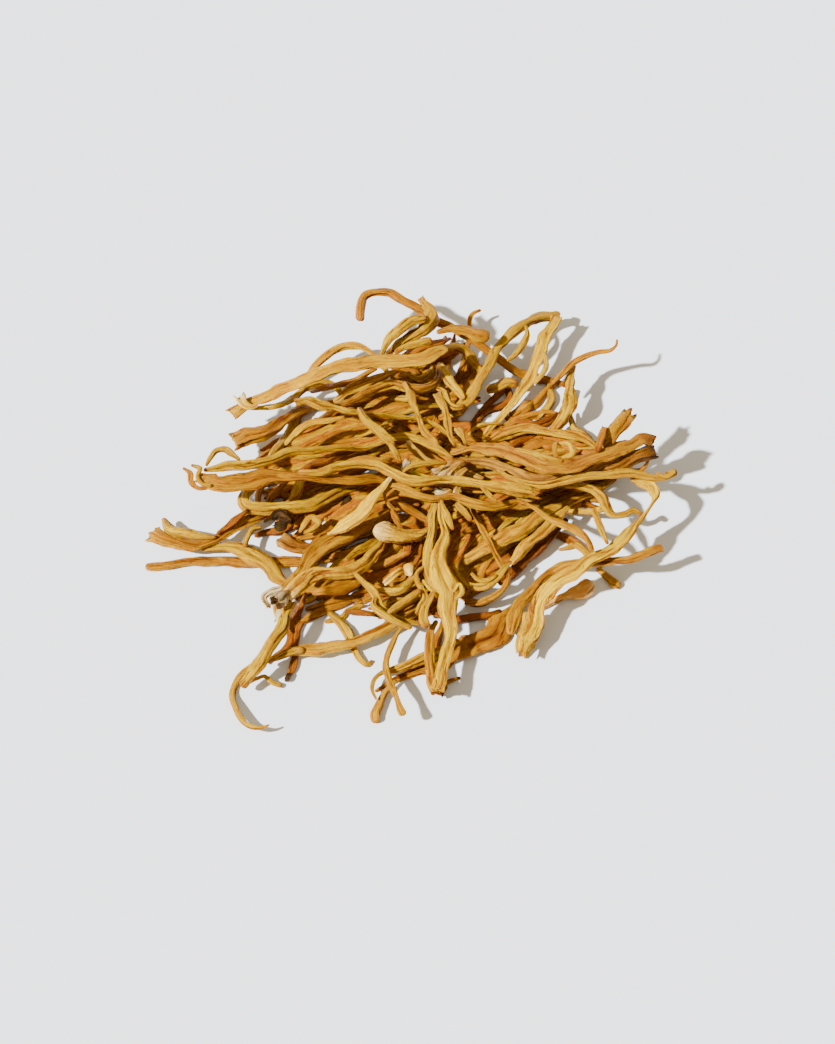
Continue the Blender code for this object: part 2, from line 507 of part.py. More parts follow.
def stalk_object(stalk: Stalk, laid: LaidStalk, section: bpy.types.Object) -> bpy.types.Object:
    """Sweep a stalk's section along its laid rings."""
    curve = bpy.data.curves.new(stalk.name, "CURVE")
    curve.dimensions = "3D"
    curve.twist_mode = "Z_UP"
    curve.bevel_mode = "OBJECT"
    curve.bevel_object = section
    curve.use_fill_caps = True
    spline = curve.splines.new("POLY")
    spline.points.add(len(laid.rings) - 1)
    centre = np.array([*HEAP_CENTRE, 0.0])
    for point, place, radius, roll in zip(spline.points, laid.rings - centre, laid.half_width, laid.roll):
        point.co = (*(place * METRES_PER_MM), 1.0)
        point.radius = radius * METRES_PER_MM
        point.tilt = roll
    spline.use_smooth = True
    curve.materials.append(flesh_material(stalk.flesh))
    return bpy.data.objects.new(stalk.name, curve)


def main() -> None:
    """Lay every stalk, from the lowest to the top one."""
    remove_scene_objects()
    tangle = new_collection("dried_cordyceps")
    guides = new_collection("section_guides")
    sections = {form: section_guide(form, guides) for form in Form}
    heap = Heap()
    for stalk in STALKS:
        laid = LaidStalk(stalk)
        laid.lay(heap)
        tangle.objects.link(stalk_object(stalk, laid, sections[stalk.form]))


main()
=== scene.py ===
"""The looks of a matted tangle of dried cordyceps.

Sixty solid stalks are the fixed frame. Each gets a skin of its own: a fine tube or ribbon with the
furrows, folds, knobs and cut or rounded ends that such a stalk has when it is dry. Smaller stalks that the
picture shows between them are laid on the heap or tucked into it, and hidden ones fill it from below.
All making is done in millimetres and turned into metres when a mesh is made.
"""

import logging
import math
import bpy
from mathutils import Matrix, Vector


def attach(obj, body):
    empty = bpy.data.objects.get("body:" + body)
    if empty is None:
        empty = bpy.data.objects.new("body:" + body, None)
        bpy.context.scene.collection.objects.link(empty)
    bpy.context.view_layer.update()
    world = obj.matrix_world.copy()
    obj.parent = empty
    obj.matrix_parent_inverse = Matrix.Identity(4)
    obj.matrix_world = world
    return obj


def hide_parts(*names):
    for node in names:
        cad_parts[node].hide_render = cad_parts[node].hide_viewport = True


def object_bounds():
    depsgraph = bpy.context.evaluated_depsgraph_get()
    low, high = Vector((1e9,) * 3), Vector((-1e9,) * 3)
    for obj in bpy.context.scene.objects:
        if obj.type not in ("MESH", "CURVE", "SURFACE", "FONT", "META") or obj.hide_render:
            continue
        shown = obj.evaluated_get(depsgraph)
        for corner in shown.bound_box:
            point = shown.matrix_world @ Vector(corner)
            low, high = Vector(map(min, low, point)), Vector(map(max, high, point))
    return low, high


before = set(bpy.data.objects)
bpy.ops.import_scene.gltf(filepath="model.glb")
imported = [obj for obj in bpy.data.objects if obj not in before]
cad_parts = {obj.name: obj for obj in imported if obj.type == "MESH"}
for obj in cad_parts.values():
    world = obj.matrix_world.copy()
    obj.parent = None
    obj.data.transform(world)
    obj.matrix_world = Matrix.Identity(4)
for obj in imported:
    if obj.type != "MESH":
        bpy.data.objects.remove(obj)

import zlib
from dataclasses import dataclass, field, replace
from enum import Enum

import bpy
import numpy as np
from mathutils import Vector

SOLID_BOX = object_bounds()
LOG = logging.getLogger("dried_cordyceps")
METRES_PER_MM = 0.001
BODY = "root"

Colour = tuple[float, float, float]
Route = list[tuple[float, float, float]]
Sockets = dict[str, bpy.types.NodeSocket]


@dataclass(frozen=True)
class Picture:
    """How the picture was taken, so that a pixel of it stands for a place over the table."""

    width: float = 835.0
    height: float = 1044.0
    heap_width: float = 149.0
    heap_left: float = 145.0
    heap_right: float = 676.0
    elevation: float = math.radians(55.0)
    distance: float = 900.0
    heap_centre: tuple[float, float] = (-1.66, 0.09)
    sensor: float = 36.0

    @property
    def mm_per_pixel(self) -> float:
        """The scale at the picture's centre."""
        return self.heap_width / (self.heap_right - self.heap_left)

    @property
    def eye(self) -> np.ndarray:
        """The eye's place in mm, with the picture's centre on the table as the origin."""
        return self.distance * np.array([0.0, -math.cos(self.elevation), math.sin(self.elevation)])

    @property
    def lens(self) -> float:
        """The focal length in mm on the sensor's long side."""
        return self.distance / self.mm_per_pixel * self.sensor / self.height

    def places(self, pixels: np.ndarray, heights: np.ndarray) -> np.ndarray:
        """Find where the picture's pixels lie at these heights.

        Args:
            pixels: Rows of x and y in the picture.
            heights: The height of each over the table, in mm.

        Returns:
            Rows of x, y and z in mm, in the heap's own frame.
        """
        forward = -self.eye / self.distance
        right = np.array([1.0, 0.0, 0.0])
        up = np.array([0.0, math.sin(self.elevation), math.cos(self.elevation)])
        across = pixels[:, 0] - self.width / 2.0
        upward = self.height / 2.0 - pixels[:, 1]
        rays = self.distance / self.mm_per_pixel * forward + across[:, None] * right + upward[:, None] * up
        reach = (heights - self.eye[2]) / rays[:, 2]
        return self.eye + reach[:, None] * rays - np.array([*self.heap_centre, 0.0])

    def pixels(self, places: np.ndarray) -> np.ndarray:
        """Find the pixels at which the picture shows places in the heap's own frame."""
        away = places + np.array([*self.heap_centre, 0.0]) - self.eye
        depth = away @ (-self.eye / self.distance)
        upward = away @ np.array([0.0, math.sin(self.elevation), math.cos(self.elevation)])
        scale = self.distance / self.mm_per_pixel / depth
        x, y = self.width / 2.0 + scale * away[..., 0], self.height / 2.0 - scale * upward
        return np.stack([x, y], axis=-1)


PICTURE = Picture()


class End(Enum):
    """How a stalk ends."""

    CLUB = "club"
    POINT = "point"
    CUT = "cut"
    TORN = "torn"


@dataclass(frozen=True)
class Flesh:
    """The colours of one kind of dried flesh, and how matt it is.

    ridge and body mix over the stalk. crease is painted shade in its furrows, splits, hairline wrinkles and
    hollow ends, and also colours its own dark specks. edge deepens its thin edges, is painted shade on its
    underside and also colours its stains. base and tip colour its first and last end. wrinkles scales the fine
    relief.
    """

    name: str
    slot: str
    ridge: Colour
    body: Colour
    crease: Colour
    edge: Colour
    base: Colour
    tip: Colour
    roughness: float = 0.5
    wrinkles: float = 1.0


GOLDEN = Flesh("golden_flesh", "golden_flesh", (0.57, 0.380, 0.001), (0.335, 0.168, 0.001),
               (0.115, 0.030, 0.004), (0.26, 0.086, 0.003), (0.40, 0.20, 0.015), (0.30, 0.115, 0.003))
BRIGHT = Flesh("bright_yellow_flesh", "golden_flesh", (0.71, 0.495, 0.001), (0.48, 0.282, 0.001),
               (0.17, 0.050, 0.004), (0.33, 0.125, 0.002), (0.50, 0.29, 0.02), (0.46, 0.250, 0.002))
# Deep orange is the own colour of some stalks, and also painted shade on stalks that lie low in the heap or
# are tucked under others.
ORANGE = Flesh("deep_orange_flesh", "deep_orange_flesh", (0.47, 0.222, 0.001), (0.275, 0.101, 0.001),
               (0.115, 0.025, 0.005), (0.22, 0.053, 0.004), (0.36, 0.14, 0.01), (0.19, 0.048, 0.005))
AMBER = Flesh("amber_flesh", "deep_orange_flesh", (0.57, 0.358, 0.001), (0.345, 0.162, 0.001),
              (0.120, 0.028, 0.004), (0.26, 0.080, 0.003), (0.38, 0.18, 0.015), (0.36, 0.165, 0.003))
# Brown flesh is mostly painted deep shade, golden flesh darkened for stalks that lie low in the heap or under
# others; a few brown bits on top have it as their own colour.
BROWN = Flesh("brown_flesh", "brown_flesh", (0.33, 0.112, 0.004), (0.19, 0.049, 0.004),
              (0.055, 0.012, 0.004), (0.11, 0.024, 0.004), (0.19, 0.06, 0.006), (0.008, 0.004, 0.003), 0.55)
UMBER = Flesh("umber_flesh", "brown_flesh", (0.52, 0.28, 0.015), (0.31, 0.125, 0.008),
              (0.060, 0.014, 0.004), (0.17, 0.046, 0.006), (0.42, 0.21, 0.03), (0.10, 0.03, 0.006), 0.55)
PALE = Flesh("pale_cream_flesh", "pale_cream_flesh", (0.74, 0.515, 0.008), (0.52, 0.315, 0.004),
             (0.22, 0.075, 0.010), (0.38, 0.150, 0.008), (0.84, 0.62, 0.22), (0.56, 0.32, 0.05), 0.6, 0.7)
HEADED = Flesh("cream_headed_flesh", "pale_cream_flesh", (0.64, 0.425, 0.002), (0.43, 0.235, 0.002),
               (0.15, 0.038, 0.007), (0.32, 0.105, 0.006), (0.80, 0.59, 0.22), (0.34, 0.13, 0.008), 0.6, 0.9)
# Rosy tan is pale cream flesh made redder for the club at the lower right, which lies in the shadow of the
# ribbon beside it: painted shade.
ROSY = Flesh("rosy_tan_flesh", "pale_cream_flesh", (0.86, 0.50, 0.14), (0.70, 0.36, 0.09),
             (0.20, 0.060, 0.015), (0.50, 0.200, 0.040), (0.80, 0.52, 0.18), (0.86, 0.52, 0.20), 0.6)
TAN = Flesh("grey_tan_flesh", "grey_tan_flesh", (0.58, 0.385, 0.040), (0.38, 0.200, 0.016),
            (0.12, 0.040, 0.010), (0.24, 0.090, 0.010), (0.60, 0.45, 0.20), (0.30, 0.13, 0.010), 0.65)
PAPERY = Flesh("papery_base_flesh", "pale_cream_flesh", (0.66, 0.51, 0.27), (0.46, 0.31, 0.12),
               (0.035, 0.016, 0.007), (0.28, 0.15, 0.05), (0.60, 0.47, 0.24), (0.34, 0.17, 0.03), 0.7)
# Painted shade: a darker, redder golden flesh for the hidden stalks inside the heap, reddened as light bounced
# between the stalks would make it.
DEEP_SHADE = Flesh("crevice_flesh", "brown_flesh", (0.47, 0.168, 0.002), (0.31, 0.090, 0.003),
                (0.105, 0.022, 0.005), (0.21, 0.046, 0.004), (0.27, 0.08, 0.004), (0.19, 0.045, 0.005), 0.6)
SUBSTRATE = Flesh("dark_cut_flesh", "brown_flesh", (0.29, 0.120, 0.008), (0.16, 0.052, 0.005),
                  (0.040, 0.012, 0.003), (0.10, 0.026, 0.004), (0.030, 0.013, 0.006), (0.16, 0.048, 0.005),
                  0.7)
BLACKENED = Flesh("blackened_flesh", "brown_flesh", (0.080, 0.036, 0.012), (0.020, 0.011, 0.007),
                  (0.003, 0.002, 0.002), (0.010, 0.006, 0.004), (0.006, 0.004, 0.003), (0.05, 0.02, 0.008),
                  0.45)
OLIVE = Flesh("olive_gold_flesh", "golden_flesh", (0.54, 0.355, 0.002), (0.32, 0.160, 0.002),
              (0.120, 0.032, 0.007), (0.25, 0.078, 0.006), (0.40, 0.20, 0.02), (0.060, 0.022, 0.006))
FLESHES = (GOLDEN, BRIGHT, ORANGE, AMBER, BROWN, UMBER, PALE, HEADED, ROSY, TAN, PAPERY, DEEP_SHADE, SUBSTRATE,
           BLACKENED, OLIVE)


@dataclass(frozen=True)
class Look:
    """How one stalk has dried: its flesh, its ends and its relief, all sizes as shares of its half width.

    furrows is the number of grooves along the stalk and depth their depth. hollow sinks the middle of a flat
    stalk, folds pleats it, knobs lets it swell here and there, rings wrinkles it crosswise, sway lets it
    stray from its line, and facets flattens its sides. fullness scales the whole skin, and slimming is what
    it loses past its first end.
    """

    flesh: Flesh = GOLDEN
    first: End = End.CLUB
    last: End = End.POINT
    furrows: int = 3
    depth: float = 0.36
    hollow: float = 0.35
    folds: float = 0.0
    knobs: float = 0.09
    rings: float = 0.0
    sway: float = 0.27
    facets: float = 0.10
    fullness: float = 1.12
    slimming: float = 0.0


def run_along(places: np.ndarray) -> np.ndarray:
    """The length up to each place along the line through them."""
    steps = np.linalg.norm(np.diff(places, axis=0), axis=1)
    return np.concatenate([[0.0], np.cumsum(steps)])


def smooth_through(run: np.ndarray, values: np.ndarray, fine: np.ndarray) -> np.ndarray:
    """Read a smooth curve through values.

    Args:
        run: Where the values stand, rising.
        values: One value or one row of values for each.
        fine: Where to read the curve.

    Returns:
        The curve's values there.
    """
    slopes = np.gradient(values, run, axis=0)
    index = np.clip(np.searchsorted(run, fine, side="right") - 1, 0, len(run) - 2)
    span = run[index + 1] - run[index]
    part = (fine - run[index]) / span
    if values.ndim > 1:
        part, span = part[:, None], span[:, None]
    start, end = values[index], values[index + 1]
    start_slope, end_slope = slopes[index] * span, slopes[index + 1] * span
    square, cube = part**2, part**3
    return (
        (2 * cube - 3 * square + 1) * start
        + (cube - 2 * square + part) * start_slope
        + (3 * square - 2 * cube) * end
        + (cube - square) * end_slope
    )


def unit_rows(rows: np.ndarray) -> np.ndarray:
    """Rows scaled to length one."""
    return rows / np.maximum(np.linalg.norm(rows, axis=-1, keepdims=True), 1e-9)


def waver(rng: np.random.Generator, run: np.ndarray, wave: float) -> np.ndarray:
    """A smooth random line between about -1 and 1, with this wavelength in mm."""
    line = np.zeros_like(run)
    for stretch in (1.0, 0.61, 0.37):
        phase = rng.uniform(0.0, math.tau)
        line += stretch * np.sin(math.tau * run / (wave * stretch) + phase)
    return line / 1.5


@dataclass
class StalkLine:
    """The middle of a stalk at a row of places, with the way of its width and its half sizes, in mm."""

    places: np.ndarray
    sideways: np.ndarray
    half_width: np.ndarray
    half_height: np.ndarray

    @property
    def run(self) -> np.ndarray:
        """The length along the stalk up to each place."""
        return run_along(self.places)

    def turned_round(self) -> "StalkLine":
        """The same line from its other end."""
        rows = (self.places, self.sideways, self.half_width, self.half_height)
        return StalkLine(*(row[::-1] for row in rows))


class SolidReader:
    """Reads the middle line and the sections of a stalk back from its eight-sided solid."""

    SIDES = 8
    CORNER_RADIUS = 1.04
    WELD = 1e-6
    FLAT = 0.9995

    def __init__(self, node: bpy.types.Object) -> None:
        """Weld the solid's points and list its triangles."""
        mesh = node.data
        mesh.calc_loop_triangles()
        corners = np.array([corner.co[:] for corner in mesh.vertices])
        keys = np.round(corners / self.WELD).astype(np.int64)
        _, first, joined = np.unique(keys, axis=0, return_index=True, return_inverse=True)
        self.points = corners[first] / METRES_PER_MM
        joined = joined.reshape(-1)
        triangles = joined[np.array([triangle.vertices[:] for triangle in mesh.loop_triangles])]
        whole = (triangles[:, 0] != triangles[:, 1]) & (triangles[:, 1] != triangles[:, 2])
        self.triangles = triangles[whole & (triangles[:, 2] != triangles[:, 0])]

    def neighbours(self) -> list[set[int]]:
        """The points joined to each point by an edge."""
        near: list[set[int]] = [set() for _ in self.points]
        for a, b, c in self.triangles.tolist():
            near[a].update((b, c))
            near[b].update((a, c))
            near[c].update((a, b))
        return near

    def flat_groups(self) -> list[set[int]]:
        """The corners of each flat face that is made of as many triangles as an end has."""
        corners = self.points[self.triangles]
        normals = unit_rows(np.cross(corners[:, 1] - corners[:, 0], corners[:, 2] - corners[:, 0]))
        beside: dict[tuple[int, int], list[int]] = {}
        for number, (a, b, c) in enumerate(self.triangles.tolist()):
            for edge in ((a, b), (b, c), (c, a)):
                beside.setdefault((min(edge), max(edge)), []).append(number)
        near: list[list[int]] = [[] for _ in self.triangles]
        for pair in beside.values():
            if len(pair) == 2 and normals[pair[0]] @ normals[pair[1]] > self.FLAT:
                near[pair[0]].append(pair[1])
                near[pair[1]].append(pair[0])
        groups, seen = [], set()
        for start in range(len(self.triangles)):
            if start in seen:
                continue
            group, waiting = {start}, [start]
            while waiting:
                for other in near[waiting.pop()]:
                    if other not in group:
                        group.add(other)
                        waiting.append(other)
            seen |= group
            if len(group) == self.SIDES - 2:
                groups.append(set(self.triangles[list(group)].reshape(-1).tolist()))
        return groups

    def rings(self) -> list[list[int]]:
        """The points of each ring, from one end to the other."""
        near = self.neighbours()
        for end in self.flat_groups():
            if len(end) != self.SIDES:
                continue
            rings, seen, ring = [], set(end), set(end)
            while ring:
                rings.append(sorted(ring))
                ring = set().union(*(near[point] for point in ring)) - seen
                seen |= ring
            if len(seen) == len(self.points) and all(len(ring) == self.SIDES for ring in rings):
                return rings
        raise ValueError("no end was found from which every ring has eight points")

    def line(self) -> StalkLine:
        """The stalk's middle line and sections, from one of its ends to the other."""
        rings = np.array([self.points[ring] for ring in self.rings()])
        places = rings.mean(axis=1)
        ways = unit_rows(np.gradient(places, axis=0))
        scale = math.sqrt(2.0 / self.SIDES) / self.CORNER_RADIUS
        sideways, widths, heights = [], [], []
        last = None
        for ring, place, way in zip(rings, places, ways):
            spread = ring - place
            _, sizes, axes = np.linalg.svd(spread, full_matrices=False)
            side = axes[0] - way * (axes[0] @ way)
            side = side / np.linalg.norm(side)
            if last is not None and side @ last < 0.0:
                side = -side
            last = side
            sideways.append(side)
            widths.append(sizes[0] * scale)
            heights.append(sizes[1] * scale)
        widths[0], heights[0], widths[-1], heights[-1] = widths[1], heights[1], widths[-2], heights[-2]
        return StalkLine(places, np.array(sideways), np.array(widths), np.array(heights))


@dataclass
class Skin:
    """A stalk's finished surface: points in mm, faces, and what its material reads at each point."""

    points: np.ndarray
    faces: list[tuple[int, ...]]
    marks: dict[str, np.ndarray]
    straightened: np.ndarray
    flesh: Flesh


class StalkMaker:
    """Makes the skin of a stalk along its line.

    Steps, waves and the free length are in mm, the sizes of ends in half widths, and widths of furrows in
    radians. A cup is what leads into a cut end: rings by their depth and their size.
    """

    STEP = 0.5
    AROUND = 32
    FLOOR = 0.02
    END_STEPS = (0.0, 0.06, 0.16, 0.32, 0.52, 0.76, 1.0)
    CUP = ((0.02, 0.84), (0.34, 0.62), (0.52, 0.30))
    SLIMMED_FROM, SLIMMED_OVER = 0.22, 0.15
    FREE_LENGTH = 4.0
    SWAY_WAVE = 26.0
    KNOB_WAVE, SMALL_KNOB_WAVE, THICKNESS_WAVE = 12.0, 4.5, 15.0
    SMALL_KNOBS, THICKNESS_KNOBS = 0.35, 1.4
    CLUB_LENGTH, CLUB_TIP = 0.9, 0.10
    POINT_LENGTH, POINT_TIP, POINT_TAPER, BLUNT_LENGTH = 8.0, 0.16, 0.38, 0.5
    FLARES = {End.CUT: 0.16, End.TORN: 0.05}
    FLARE_LENGTH = 1.4
    RAGGED = {End.CUT: 0.35, End.TORN: 0.9}
    FACETS = ((2, 0.8), (3, 1.0), (4, 0.5))
    FURROW_WIDTHS = (0.20, 0.34)
    BANK_AWAY, BANK_HEIGHT = 2.4, 0.35
    FIBRES, FIBRE_HEIGHT = (7, 11), 0.030
    RING_WAVES = (1.1, 0.7)
    HOLLOW_WIDTH = 0.5
    # Painted shade inside hollow cut and torn ends and at the centre of every end: the crease mark that their
    # points get.
    END_SHADE = 0.85
    EDGE_FROM, EDGE_OVER = 0.72, 0.28
    # Where the painted shade on the underside starts, and how fast it grows downward round the section.
    UNDER_LEVEL, UNDER_SLOPE = 0.42, 0.95
    PATTERN_LENGTH = 400.0
    MARK_REACH = 1.9

    def __init__(self, line: StalkLine, look: Look, name: str, step: float = STEP,
                 around: int = AROUND) -> None:
        """Keep the stalk's line and look, and start its own row of random numbers.

        Args:
            line: The stalk's middle line.
            look: How it has dried.
            name: Its name, which seeds its random numbers.
            step: The length between its rings in mm.
            around: The number of points in each ring.
        """
        self.look = look
        self.around = around
        self.rng = np.random.default_rng(zlib.crc32(name.encode()))
        run = line.run
        length = run[-1]
        first_steps = np.array(self.END_STEPS) * line.half_width[0]
        last_steps = length - np.array(self.END_STEPS) * line.half_width[-1]
        middle = np.linspace(first_steps[-1], last_steps[-1], max(int(length / step), 6))
        self.run = np.concatenate([first_steps[:-1], middle, last_steps[:-1][::-1]])
        self.length = length
        self.places = smooth_through(run, line.places, self.run)
        past = np.clip((self.run / length - self.SLIMMED_FROM) / self.SLIMMED_OVER, 0.0, 1.0)
        slimmed = 1.0 - look.slimming * past
        self.half_width = smooth_through(run, line.half_width, self.run) * look.fullness * slimmed
        self.half_height = smooth_through(run, line.half_height, self.run) * look.fullness**0.5 * slimmed
        sideways = smooth_through(run, line.sideways, self.run)
        self.ways = unit_rows(np.gradient(self.places, self.run, axis=0))
        self.sideways = unit_rows(sideways - self.ways * np.sum(sideways * self.ways, axis=1, keepdims=True))
        self.upward = np.cross(self.ways, self.sideways)
        self.turn = np.linspace(0.0, math.tau, around, endpoint=False)

    def sway(self) -> None:
        """Let the stalk sway a little from its line, and swell and thin into knobs."""
        inner = np.minimum(self.run, self.length - self.run)
        free = np.clip(inner / self.FREE_LENGTH, 0.0, 1.0) * self.look.sway * self.half_width
        self.places += (free * waver(self.rng, self.run, self.SWAY_WAVE))[:, None] * self.sideways
        knobs = self.look.knobs
        swell = 1.0 + knobs * waver(self.rng, self.run, self.KNOB_WAVE)
        swell += self.SMALL_KNOBS * knobs * waver(self.rng, self.run, self.SMALL_KNOB_WAVE)
        self.half_width *= swell
        thickness = waver(self.rng, self.run, self.THICKNESS_WAVE)
        self.half_height *= 1.0 + self.THICKNESS_KNOBS * knobs * thickness

    def end_size(self, away: np.ndarray, end: End, radius: float) -> np.ndarray:
        """How wide the stalk is near an end, as a share of its full width.

        Args:
            away: The distance of each ring from that end in mm.
            end: The kind of end.
            radius: The stalk's half width there in mm.

        Returns:
            One share for each ring.
        """
        near = away / radius
        if end is End.CLUB:
            short = 1.0 - np.clip(near / self.CLUB_LENGTH, 0.0, 1.0)
            return self.CLUB_TIP + (1.0 - self.CLUB_TIP) * np.sqrt(np.clip(1.0 - short**2, 0.0, 1.0))
        if end is End.POINT:
            taper = np.clip(near / self.POINT_LENGTH, 0.0, 1.0)
            blunt = np.sqrt(np.clip(near / self.BLUNT_LENGTH, 0.0, 1.0))
            rounding = 1.0 - self.POINT_TIP - self.POINT_TAPER
            return self.POINT_TIP + rounding * blunt + self.POINT_TAPER * taper
        return 1.0 + self.FLARES[end] * np.exp(-near / self.FLARE_LENGTH)

    def relief(self) -> tuple[np.ndarray, np.ndarray]:
        """The furrows and wrinkles that run along the stalk.

        Returns:
            The share of the radius at each point, and how deep in a furrow or trough it lies, from 0 to 1,
            which is how much painted shade the crease colour puts there.
        """
        radius = np.ones((len(self.run), self.around))
        crease = np.zeros_like(radius)
        for lobes, share in self.FACETS:
            turned = self.rng.uniform(0.0, math.tau) + 0.8 * waver(self.rng, self.run, 60.0)
            turned += self.rng.uniform(-0.03, 0.03) * self.run
            size = self.look.facets * share * (1.0 + 0.5 * waver(self.rng, self.run, 20.0))
            radius += size[:, None] * np.cos(lobes * (self.turn[None, :] - turned[:, None]))
        for number in range(self.look.furrows):
            start = math.tau * (number + self.rng.uniform(-0.3, 0.3)) / max(self.look.furrows, 1)
            wander = 0.45 * waver(self.rng, self.run, 48.0) + 0.05 * waver(self.rng, self.run, 9.0)
            angle = start + wander + self.rng.uniform(-0.02, 0.02) * self.run
            apart = np.abs(np.angle(np.exp(1j * (self.turn[None, :] - angle[:, None]))))
            width = self.rng.uniform(*self.FURROW_WIDTHS)
            strength = np.clip(0.75 + 0.7 * waver(self.rng, self.run, 22.0), 0.10, 1.3)[:, None]
            groove = np.exp(-apart / width) * strength
            bank = self.BANK_HEIGHT * np.exp(-(((apart - self.BANK_AWAY * width) / width) ** 2)) * strength
            radius += self.look.depth * (bank - groove)
            # Painted shade: the crease mark darkens each furrow with the crease colour, and the troughs of
            # fibres and rings add a little.
            crease += 1.25 * np.exp(-apart / (0.55 * width)) * strength
        for count in self.FIBRES:
            phase = self.rng.uniform(0.0, math.tau) + 1.5 * waver(self.rng, self.run, 40.0)
            ripple = np.cos(count * self.turn[None, :] + phase[:, None])
            strength = self.FIBRE_HEIGHT * (1.0 + 0.7 * waver(self.rng, self.run, 12.0))[:, None]
            radius += strength * ripple
            crease += 0.12 * np.clip(-ripple, 0.0, 1.0)
        if self.look.rings > 0.0:
            for wave in self.RING_WAVES:
                around = waver(self.rng, self.turn * 2.0, 5.0)
                ripple = np.sin(math.tau * (self.run[:, None] + 0.25 * around[None, :]) / wave)
                ripple *= np.clip(0.5 + waver(self.rng, self.run, 4.0), 0.0, 1.0)[:, None]
                radius += self.look.rings * ripple
                crease += 0.22 * np.clip(-ripple, 0.0, 1.0)
        return radius, np.clip(crease, 0.0, 1.0)

    def section(self, radius: np.ndarray) -> tuple[np.ndarray, np.ndarray]:
        """The section's points at each ring, across and upward, as shares of the half sizes."""
        cosine, sine = np.cos(self.turn), np.sin(self.turn)
        across = (np.sign(cosine) * np.abs(cosine) ** 0.92)[None, :] * radius
        upward = (np.sign(sine) * np.abs(sine) ** 0.80)[None, :] * radius
        flat = 1.0 - np.clip(self.half_height / self.half_width, 0.0, 1.0)
        sunk = self.look.hollow * flat * np.clip(0.8 + 0.4 * waver(self.rng, self.run, 12.0), 0.3, 1.2)
        upward = upward * (1.0 - sunk[:, None] * np.exp(-((across / self.HOLLOW_WIDTH) ** 2)))
        if self.look.folds > 0.0:
            drift = self.rng.uniform(0.0, 6.0) + 1.1 * waver(self.rng, self.run, 45.0)
            strength = self.look.folds * np.clip(0.8 + 0.5 * waver(self.rng, self.run, 24.0), 0.2, 1.3)
            wave = np.arcsin(0.97 * np.sin(1.9 * math.pi * across + drift[:, None])) / 1.3
            upward = upward + strength[:, None] * wave * (1.0 - 0.4 * np.abs(across))
        return across, upward

    def body_rings(self) -> tuple[np.ndarray, np.ndarray, np.ndarray]:
        """The rings of the stalk from end to end.

        Returns:
            Their points, how deep in a furrow each lies, and how near a thin edge or the underside, where the
            edge colour deepens the thin edges and paints shade underneath.
        """
        self.sway()
        radius, crease = self.relief()
        size = self.end_size(self.run, self.look.first, self.half_width[0])
        size = size * self.end_size(self.length - self.run, self.look.last, self.half_width[-1])
        across, upward = self.section(radius)
        wide = across * (self.half_width * size)[:, None]
        high = upward * (self.half_height * size)[:, None]
        points = self.places[:, None, :] + wide[..., None] * self.sideways[:, None, :]
        points = points + high[..., None] * self.upward[:, None, :]
        self.fray(points)
        points[..., 2] = np.maximum(points[..., 2], self.FLOOR)
        flat = np.clip(1.4 * (1.0 - self.half_height / self.half_width), 0.15, 1.0)
        beside = np.clip((np.abs(np.cos(self.turn)) - self.EDGE_FROM) / self.EDGE_OVER, 0.0, 1.0)
        edge = beside[None, :] * flat[:, None]
        # Painted shade: the lower half of each section takes more of the edge colour, most of all underneath.
        under = np.clip(self.UNDER_LEVEL - self.UNDER_SLOPE * np.sin(self.turn), 0.0, 1.0)[None, :]
        return points, crease, np.maximum(edge, under)

    def fray(self, points: np.ndarray) -> None:
        """Make the rim of a cut or torn end uneven."""
        for ring, end, outward in ((0, self.look.first, -1.0), (-1, self.look.last, 1.0)):
            if end in self.RAGGED:
                rise = self.RAGGED[end] * self.half_width[ring] * waver(self.rng, self.turn, 2.1)
                points[ring] += outward * rise[:, None] * self.ways[ring]

    def close(self, rings: list[np.ndarray], end: End, ring: int) -> tuple[list[np.ndarray], np.ndarray]:
        """Close an end.

        Args:
            rings: The body's rings.
            end: The kind of end.
            ring: 0 for the first end, -1 for the last.

        Returns:
            Further rings that lead into a hollow, outermost first, and the closing point.
        """
        way = self.ways[ring] * (1.0 if ring == 0 else -1.0)
        centre = rings[ring].mean(axis=0)
        if end in (End.CLUB, End.POINT):
            return [], centre - way * 0.06 * self.half_width[ring]
        spread = rings[ring] - centre
        inner = [centre + spread * size + way * depth * self.half_width[ring] for depth, size in self.CUP]
        return inner, centre + way * self.CUP[-1][0] * self.half_width[ring]

    def make(self) -> Skin:
        """Make the skin."""
        body, crease, edge = self.body_rings()
        rings = list(body)
        first_inner, first_point = self.close(rings, self.look.first, 0)
        last_inner, last_point = self.close(rings, self.look.last, -1)
        every = first_inner[::-1] + rings + last_inner
        before, after = len(first_inner), len(last_inner)
        points = np.vstack([*every, first_point[None, :], last_point[None, :]])
        count = len(every)

        def spread_out(values: np.ndarray, end_value: float) -> np.ndarray:
            """Give the hollow ends' points a value of their own."""
            head = np.full((before, self.around), end_value)
            tail = np.full((after, self.around), end_value)
            return np.concatenate([np.vstack([head, values, tail]).reshape(-1), [end_value, end_value]])

        run = np.repeat(self.run[:, None], self.around, axis=1)
        straight = np.stack([
            spread_out(np.cos(self.turn)[None, :] * self.half_width[:, None], 0.0),
            spread_out(np.sin(self.turn)[None, :] * self.half_height[:, None], 0.0),
            spread_out(run, 0.0),
        ], axis=1)
        straight[:, 2] += self.rng.uniform(0.0, self.PATTERN_LENGTH)
        reach = self.MARK_REACH * self.half_width.mean()
        marks = {
            "crease": spread_out(crease, self.END_SHADE),
            "edge": spread_out(edge, 0.0),
            "near_first": spread_out(np.exp(-run / reach), 1.0),
            "near_last": spread_out(np.exp(-(self.length - run) / reach), 1.0),
            "tone": np.full(len(points), self.rng.uniform(-1.0, 1.0)),
        }
        return Skin(points, self.faces(count), marks, straight, self.look.flesh)

